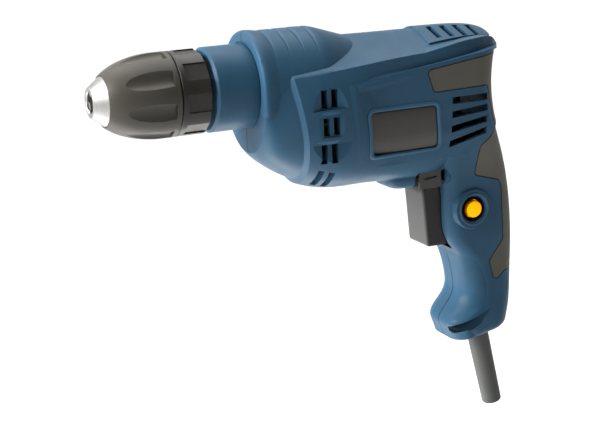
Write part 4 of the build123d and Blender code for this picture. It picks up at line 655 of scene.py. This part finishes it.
def grip_nose():
    """Front of the grip and its toe: rounded sections whose front line is straight at the waist and beaked at the toe.

    A ridge with a steep underside runs back from the beak, over a hollow. The lower rim is rounded, and the shell's
    edges lie under the housing's surface.
    """
    front_line = [
        (-156.0, 124.0), (-153.0, 123.0), (-150.0, 122.0), (-147.0, 120.9), (-145.0, 120.1), (-143.0, 119.7),
        (-141.0, 120.1), (-138.0, 121.9), (-135.0, 124.4), (-132.0, 126.8), (-129.5, 128.2), (-127.0, 129.0),
        (-124.5, 129.3), (-121.0, 129.1), (-116.5, 128.45), (-112.0, 127.5), (-109.0, 126.8), (-106.0, 125.9),
        (-103.5, 124.95), (-101.5, 124.0),
    ]
    half_line = [
        (-156.0, 19.4), (-150.0, 19.6), (-147.0, 19.6), (-144.0, 19.4), (-141.0, 19.3), (-138.0, 19.1), (-132.0, 18.5),
        (-126.0, 17.85), (-120.0, 17.45), (-114.0, 17.25), (-108.0, 17.3), (-101.5, 17.4),
    ]
    corner_line = [(-156.0, 13.3), (-138.0, 13.0), (-129.0, 12.0), (-117.0, 11.0), (-101.5, 9.8)]
    reach, top, knee = 33.0, -101.5, -134.0
    rim, shell, setback = 1.7, 1.3, 3.0
    lip_rise, hollow_depth, lip_start = 1.1, 2.4, (7.0, 15.0)
    way = np.linspace(-reach, reach, 181)[:, None]
    far = np.abs(way)
    floor = toe_floor(rounded_front(way, 123.0, 19.5, 13.3, -153.0)[0][..., 0])
    upper = np.linspace(top, knee, 40)[None] + 0 * way
    lower = knee + (floor + rim - knee) * np.linspace(0, 1, 111)[None, 1:]
    z = np.concatenate([upper, lower], 1)
    skin, out = rounded_front(way, on_line(z, front_line), on_line(z, half_line), on_line(z, corner_line), z)
    over = z - lip_height(far)
    start = np.where(way < 0, *lip_start)
    lip = smooth((over + 2.1) / 0.5) * (1 - smooth(over / 5.0))
    lip = lip_rise * lip * smooth((far - start) / 8) * (1 - smooth((far - 20) / 12))
    hollow = smooth((-1.7 - over) / 0.5) * smooth((z - pocket_low(far)) / 1.0)
    hollow = hollow_depth * hollow * smooth((far - start - 1.6) / 1.0) * (1 - smooth((far - 24) / 9))
    sink = 3.2 * smooth((far - 19) / 13) * smooth((-143.0 - z) / 5) + 0.5 * smooth((far - 27) / 5)
    skin = skin + out * (lip - hollow - sink)[..., None]
    arc = np.linspace(0, QUARTER, 9)[None, 1:, None]
    edge, edge_out, down = skin[:, -1:], out[:, -1:], np.array([0.0, 0.0, -1.0])
    rolled = edge - edge_out * rim * (1 - np.cos(arc)) + down * rim * np.sin(arc)
    under = edge - edge_out * 9.0 + down * (rim - 3.0)
    outer = np.concatenate([skin, rolled, under], 1)
    rise = np.linspace(0, 1, outer.shape[1])[None]
    z = (floor + 7.0) * (1 - rise) + top * rise
    front, half, corner = (on_line(z, line) for line in (front_line, half_line, corner_line))
    inner, _ = rounded_front(way, front + setback + shell, half - shell, corner - shell, z)
    rings = np.concatenate([outer, inner], 1)
    piece("grip_nose", [(rings, "rungs")], "housing", "housing_plastic")


def toe_pocket():
    """Floor of the hollow under the lip, with painted shade: a thin skin on the housing between the hollow's edges."""
    front_line = [
        (-151.0, 125.9), (-149.0, 123.85), (-147.0, 121.96), (-146.0, 121.2), (-144.0, 120.31), (-141.0, 120.66),
        (-138.0, 123.03), (-134.0, 126.93),
    ]
    half_line = [(-151.0, 18.2), (-149.0, 18.9), (-146.0, 19.6), (-142.0, 19.69), (-138.0, 19.49), (-134.0, 19.08)]
    corner, proud, sunk = 13.2, 0.12, -0.6
    way = np.linspace(8.2, 33.0, 80)[:, None]
    share = np.concatenate([np.linspace(0, 1, 20), np.linspace(1, 0, 20)])[None]
    low, high = pocket_low(way) - 0.4, lip_height(way) - 1.2
    z = low + (high - low) * share
    rise = np.repeat([[proud, sunk]], 20, 1) - 0.3 * smooth((way - 28) / 5)
    skin, out = rounded_front(-way, on_line(z, front_line), on_line(z, half_line), corner, z)
    rings = skin + out * rise[..., None]
    piece("toe_pocket", both_sides(rings, "rungs"), "housing", "toe_shade")


def pad_step():
    """Swelling of the flank before the flat side: an even rise from the air slots and a steep fall to the plate."""
    top, bottom, height, bury, depth = 0.5, -47.0, 0.65, 0.1, 0.8
    z = np.linspace(top, bottom, 90)[:, None]
    across = np.linspace(0, 1, 41)[None]
    edge = 56.4 + 0.095 * (-2.0 - z)
    x = edge - 3.6 + 8.6 * across
    rise = smooth(across / 0.5) * (1 - smooth((across - 0.46) / 0.42))
    fade = smooth((top - z) / 3.5) * smooth((z - bottom) / 14.0)
    side = flank(x, z)
    outer = grid(x, -side - height * rise * fade + bury, z)
    inner = grid(x, -side + depth, z)[:, ::-1]
    piece("pad_step", [(np.concatenate([outer, inner], 1), "rungs")], "housing", "collar_plastic")


def pad_brow():
    """Rounded upper edge of the flat side: a section that leans out to a soft crest and back, carried along it."""
    front, back, height, bury, depth = 57.0, 97.0, 0.75, 0.1, 0.9
    x = np.linspace(front, back, 80)[:, None]
    drop = np.linspace(-1.4, 6.6, 48)[None]
    z = -0.5 + 0.1232 * (x - 56.5) - drop
    above = curve(x, [57.0, 62.0, 66.0, 80.0, 97.0], [31.0, 30.35, 30.0, 29.05, 28.68])
    fade = smooth((x - front) / 5.0) * smooth((back - x) / 26.0)
    slope = above + (FLAT_SIDE - above) * np.maximum(smooth((drop + 1.4) / 2.6) * fade, smooth(drop / 0.6))
    under = np.maximum(slope, np.where(x < 72.0, flank(x, z), 0.0))
    crest = height * smooth((drop + 0.2) / 2.8) * (1 - smooth((drop - 2.6) / 3.4))
    outer = grid(x, -under - crest * fade + bury, z)
    inner = grid(x, depth - under, z)[:, ::-1]
    piece("pad_brow", [(np.concatenate([outer, inner], 1), "rungs")], "housing", "collar_plastic")


def shoulder_cover():
    """Smooth skin over the narrow shoulder beside the hump: straight lines from its inner to its outer edge."""
    front, back, height, bury, depth = 25.0, 48.5, 0.3, 0.14, 0.6
    x = np.linspace(front, back, 60)[:, None]
    marks = [25.0, 26.0, 28.0, 34.0, 40.0, 44.0, 48.5]
    inner_y = curve(x, marks, [26.42, 26.4, 26.35, 26.2, 25.95, 25.8, 24.95])
    inner_z = curve(x, marks, [6.65, 6.7, 6.75, 7.3, 8.02, 8.47, 9.3])
    outer_y = curve(x, marks, [27.6, 28.2, 28.5, 28.75, 28.9, 29.0, 29.0])
    outer_z = curve(x, marks, [5.2, 5.3, 5.41, 5.75, 6.25, 6.57, 6.95])
    across = np.linspace(0, 1, 16)[None]
    fade = smooth((x - front) / 1.0) * smooth((back - x) / 2.0)
    y, z = inner_y + (outer_y - inner_y) * across, inner_z + (outer_z - inner_z) * across
    rise = height * smooth(across / 0.2) * smooth((1 - across) / 0.2) * fade - bury
    skin = grid(x, -y - 0.5 * rise, z + 0.86 * rise)
    under = grid(x, depth - y, z - depth)[:, ::-1]
    both = both_sides(np.concatenate([skin, under], 1), "rungs")
    piece("shoulder_cover", both, "housing", "collar_plastic")


def slot_bars():
    """Pointed bars between the rows of air slots: a low roof that is widest and highest at the middle of its length."""
    middle, half_length, half_width, height, bury, depth = 42.9, 8.6, 1.45, 0.75, 0.12, 1.0
    steps = 17
    along = np.linspace(-1, 1, 48)[:, None]
    across = np.concatenate([np.linspace(-1, 1, steps), np.linspace(1, -1, steps)])[None]
    full = 1 - along**2
    x = middle + half_length * along
    roof = height * full * (1 - np.abs(across)) - bury
    roof = np.where(np.arange(2 * steps)[None] < steps, roof, -depth)
    width = half_width * np.sqrt(full) * across + 0.03 * across
    bars = []
    for z, side in ((-13.1, 33.95), (-26.95, 33.55)):
        skin = side - 0.0085 * (x - 41.5) ** 2
        bars += both_sides(grid(x, -skin - roof, z + width), "rungs")
    piece("slot_bars", bars, "housing", "frame_plastic_lit", 20.0)


def tail_shoulder():
    """Raised shoulders beside the hood: a flat that stands up from the flank, rounds over and runs in to the hood."""
    front, back, radius = 97.0, 149.0, 0.6
    x = np.linspace(front, back, 90)[:, None]
    marks = [97.0, 104.0, 112.0, 118.0, 124.0, 130.0, 136.0, 140.0, 144.0, 147.0, 149.0]
    wide = curve(x, marks, [28.3, 28.2, 28.0, 27.5, 26.9, 26.1, 24.4, 22.7, 20.8, 18.2, 16.0])
    low = curve(x, marks, [10.95, 11.3, 11.6, 11.8, 11.95, 12.0, 11.95, 11.85, 11.6, 11.1, 10.7])
    hood = curve(x, marks, [21.0, 21.0, 21.0, 19.6, 19.0, 18.0, 16.9, 15.6, 14.6, 12.5, 10.5])
    foot = curve(x, marks, [13.8, 13.97, 14.05, 14.55, 14.7, 14.8, 14.7, 14.5, 13.9, 12.9, 12.2])
    rise = curve(x, marks, [0.0, 0.8, 1.8, 2.6, 3.2, 3.6, 3.8, 3.7, 3.0, 1.7, 0.4])
    share = np.linspace(0, 1, 14)[None]
    side_y, side_z = wide + 0.05 - 0.07 * rise * share, low - 0.5 + (rise - 0.1) * share
    turn = np.linspace(0, QUARTER, 7)[None, 1:]
    round_y = side_y[:, -1:] - radius * (1 - np.cos(turn))
    round_z = side_z[:, -1:] + radius * np.sin(turn)
    last_y, last_z = round_y[:, -1:], round_z[:, -1:]
    end_y, end_z = hood - 0.4, np.maximum(foot, last_z) - 0.15
    top_y, top_z = last_y + (end_y - last_y) * share[:, 1:], last_z + (end_z - last_z) * share[:, 1:]
    sunk = 0.35 * (1 - smooth((x - front) / 5.0) * smooth((back - x) / 1.5))
    y = np.concatenate([side_y, round_y, top_y], 1) - sunk
    z = np.concatenate([side_z, round_z, top_z], 1) - sunk
    floor = low + (foot - low) * (wide - y) / (wide - hood) - 1.2
    skin = grid(x, -y, z)
    under = grid(x, 0.8 - y, np.minimum(floor, z - 0.4))[:, ::-1]
    both = both_sides(np.concatenate([skin, under], 1), "rungs")
    piece("tail_shoulder", both, "housing", "collar_plastic")


def front_band():
    """Rounded band of the housing round the collar: a bead's section carried over the top from one side to the other.

    Towards its ends the section grows with the gear case and sinks into it.
    """
    section = [
        (22.2, 10.9), (22.2, 10.3), (22.5, 10.05), (24.0, 9.95), (25.6, 10.0), (26.7, 10.25), (27.3, 10.75),
        (27.65, 11.6), (27.8, 12.8), (27.75, 14.2), (27.6, 15.6), (27.35, 17.2), (26.9, 19.0), (25.5, 18.6),
        (24.0, 15.6), (22.7, 12.5),
    ]
    growth, sink_in, sink_back = 2.4, 0.8, 1.2
    share = np.linspace(0, len(section) - 1, 61)
    radius, x = (curve(share, range(len(section)), column)[None] for column in zip(*section))
    angle = np.radians(np.linspace(-42.0, 222.0, 150))[:, None]
    low = np.degrees(np.minimum(angle, math.pi - angle))
    sink = smooth((-20.0 - low) / 20.0)
    outside = np.clip((radius - 23.0) / 5.0, 0, 1)
    radius = radius + (growth * smooth(-low / 30.0) - sink_in * sink) * outside
    rings = grid(x + sink_back * sink, -radius * np.cos(angle), radius * np.sin(angle))
    piece("front_band", [(rings, "poles")], "housing", "housing_plastic")


def lever_ribs():
    """Finger rib on each tab of the reversing lever: a half-round bar with rounded ends."""
    front, length, slope, tab_y, tab_z, thick, high = 103.6, 8.2, 0.9, -16.4, -58.4, 0.5, 0.65
    along = np.linspace(0, 1, 24)[:, None]
    full = np.sqrt(np.clip(1 - (2 * along - 1) ** 6, 0, 1)) * 0.98 + 0.02
    angle = np.linspace(0, TURN, 18, endpoint=False)[None]
    y = tab_y - thick * full * np.sin(angle)
    z = tab_z + slope * along + high * full * np.cos(angle)
    both = both_sides(grid(front + length * along, y, z), "poles")
    piece("lever_ribs", both, "lever", "trigger_plastic")


def fan_skirt():
    """Skirt behind the fan's disc: a ring whose radius falls with the square of the way back to the windings."""
    disc_x, length, disc_radius, fall, bore, steps = 46.0, 5.5, 18.0, 4.2, 9.0, 16
    back = np.linspace(0, 1, steps)
    outer = np.stack([disc_radius - fall * back**2, disc_x + length * back], -1)
    inner = np.stack([np.full(steps, bore), disc_x + length * (1 - back)], -1)
    rings = turned(np.concatenate([outer, inner]), (0, 0, MOTOR_Z), 0)
    piece("fan_skirt", [(rings, "loop")], "armature", slots["cooling_fan"])


def tail_rib():
    """Rib behind the rear bearing and, stepped forward, under it: a sheet on the middle plane, thicker to the back,
    near-black as painted shade inside the housing.
    """
    middle_z, half_height, boot_end, step, boot_low, back = -25.5, 21.0, 122.4, 8.4, -32.3, 136.0
    half_thickness, draft = 0.8, 0.03
    up = np.linspace(-1, 1, 60)[:, None]
    angle = np.linspace(0, TURN, 64, endpoint=False)[None]
    reach = np.sign(np.cos(angle)) * np.abs(np.cos(angle)) ** 0.4
    z = middle_z + half_height * up
    front = boot_end - step * smooth((boot_low - z) / 1.5)
    x = (front + back) / 2 + (back - front) / 2 * reach * (1 - 0.06 * up**8)
    y = (half_thickness + draft * (x - front)) * np.sin(angle) * (1 - 0.8 * up**20)
    piece("tail_rib", [(grid(x, y, z), "poles")], "housing", "hole_shade_black")


plate_rim()
lock_set()
springs()
screws()
grip_nose()
toe_pocket()
pad_step()
pad_brow()
shoulder_cover()
slot_bars()
tail_shoulder()
front_band()
lever_ribs()
fan_skirt()
tail_rib()


# Floor and soft studio light
def stage_finish():
    """White floor that keeps the object's shadow: a pale grey to the light, with a little glow of its own when seen."""
    finish = Finish("stage_white")
    path = finish.tree.nodes.new("ShaderNodeLightPath")
    seen = finish.sum("MAXIMUM", path.outputs["Is Camera Ray"], path.outputs["Is Glossy Ray"])
    seen = finish.sum("MAXIMUM", seen, path.outputs["Is Transmission Ray"])
    finish.set(Emission_Color=(1.0, 1.0, 1.0, 1.0), Emission_Strength=finish.sum("MULTIPLY", seen, 0.1))
    return finish.set(Base_Color=(0.64, 0.64, 0.64, 1.0), Roughness=0.9, Specular_IOR_Level=0.1)


def sweep_floor():
    """Floor well under the object, as a flat grid of points."""
    half, low, count = 9.0, cad_box[0][2] - 0.22, 3
    u, v = np.meshgrid(np.linspace(-half, half, count), np.linspace(-half, half, count), indexing="ij")
    points = np.stack([u.ravel(), v.ravel(), np.full(count * count, low)], 1)
    first = (np.arange(count - 1)[:, None] * count + np.arange(count - 1)).ravel()
    quads = np.stack([first, first + count, first + count + 1, first + 1], 1)
    mesh = bpy.data.meshes.new("floor")
    mesh.from_pydata(points.tolist(), [], quads.tolist())
    mesh.materials.append(stage_finish())
    floor = shown("floor", mesh)


def lamp(name, kind, spot, power, **settings):
    """Lamp at a spot that faces the middle of the object and doesn't show itself."""
    data = bpy.data.lights.new(name, kind)
    data.energy = power
    for key, value in settings.items():
        setattr(data, key, value)
    light = shown(name, data)
    light.visible_camera = False
    object_middle = (0.045, 0.0, -0.06)
    back = unit(np.array(spot) - object_middle)
    right = unit(np.cross((0.0, 1.0, 0.0), back))
    light.matrix_world = placed(right, np.cross(back, right), back, spot)


def studio():
    """White surroundings for the camera and reflections, a plain soft light, and a dim room on the view's own side."""
    dim_start, dim_end = 0.15, 0.9
    soft_light, white_wall = (0.40, 0.035), (1.0, 0.06)
    world = bpy.data.worlds.new("studio")
    bpy.context.scene.world = world
    world.use_nodes = True
    tree = world.node_tree

    def link(node, **inputs):
        """Feed a node's inputs by name, or by place as i0 and i1."""
        for key, value in inputs.items():
            socket = node.inputs[int(key[1:])] if key[0] == "i" else node.inputs[key.replace("_", " ")]
            if isinstance(value, bpy.types.NodeSocket):
                tree.links.new(value, socket)
            else:
                socket.default_value = value
        return node

    def between(share, low, high):
        """Number between two numbers as a share goes from 0 to 1."""
        made = link(tree.nodes.new("ShaderNodeMapRange"), Value=share, To_Min=low, To_Max=high)
        return made.outputs["Result"]

    def blend(share, low, high):
        """First value where the share is 0, second where it is 1."""
        return link(tree.nodes.new("ShaderNodeMix"), Factor=share, A=low, B=high).outputs["Result"]

    path = tree.nodes.new("ShaderNodeLightPath")
    direction = tree.nodes.new("ShaderNodeTexCoord").outputs["Generated"]
    toward = tree.nodes.new("ShaderNodeVectorMath")
    toward.operation = "DOT_PRODUCT"
    link(toward, i0=direction, i1=tuple(camera_axes(*VIEW)[2]))
    dim = tree.nodes.new("ShaderNodeMapRange")
    dim.interpolation_type = "SMOOTHSTEP"
    room = link(dim, Value=toward.outputs["Value"], From_Min=dim_start, From_Max=dim_end).outputs["Result"]
    level = blend(path.outputs["Is Glossy Ray"], between(room, *soft_light), between(room, *white_wall))
    seen = tree.nodes.new("ShaderNodeMath")
    seen.operation = "MAXIMUM"
    link(seen, i0=path.outputs["Is Camera Ray"], i1=path.outputs["Is Transmission Ray"])
    link(tree.nodes["Background"], Color=(1.0, 1.0, 1.0, 1.0), Strength=blend(seen.outputs["Value"], level, 1.0))
    lamp("sun", "SUN", (0.15, 0.45, 1.5), 3.75, angle=math.radians(60.0))
    lamp("front_light", "AREA", (-1.1, 0.1, 0.5), 54.0, shape="RECTANGLE", size=0.7, size_y=0.9)
    lamp("under_light", "AREA", (0.0, 0.12, -0.4), 3.1, shape="RECTANGLE", size=0.8, size_y=0.2)


sweep_floor()
studio()
bpy.context.scene.view_settings.view_transform = "Standard"
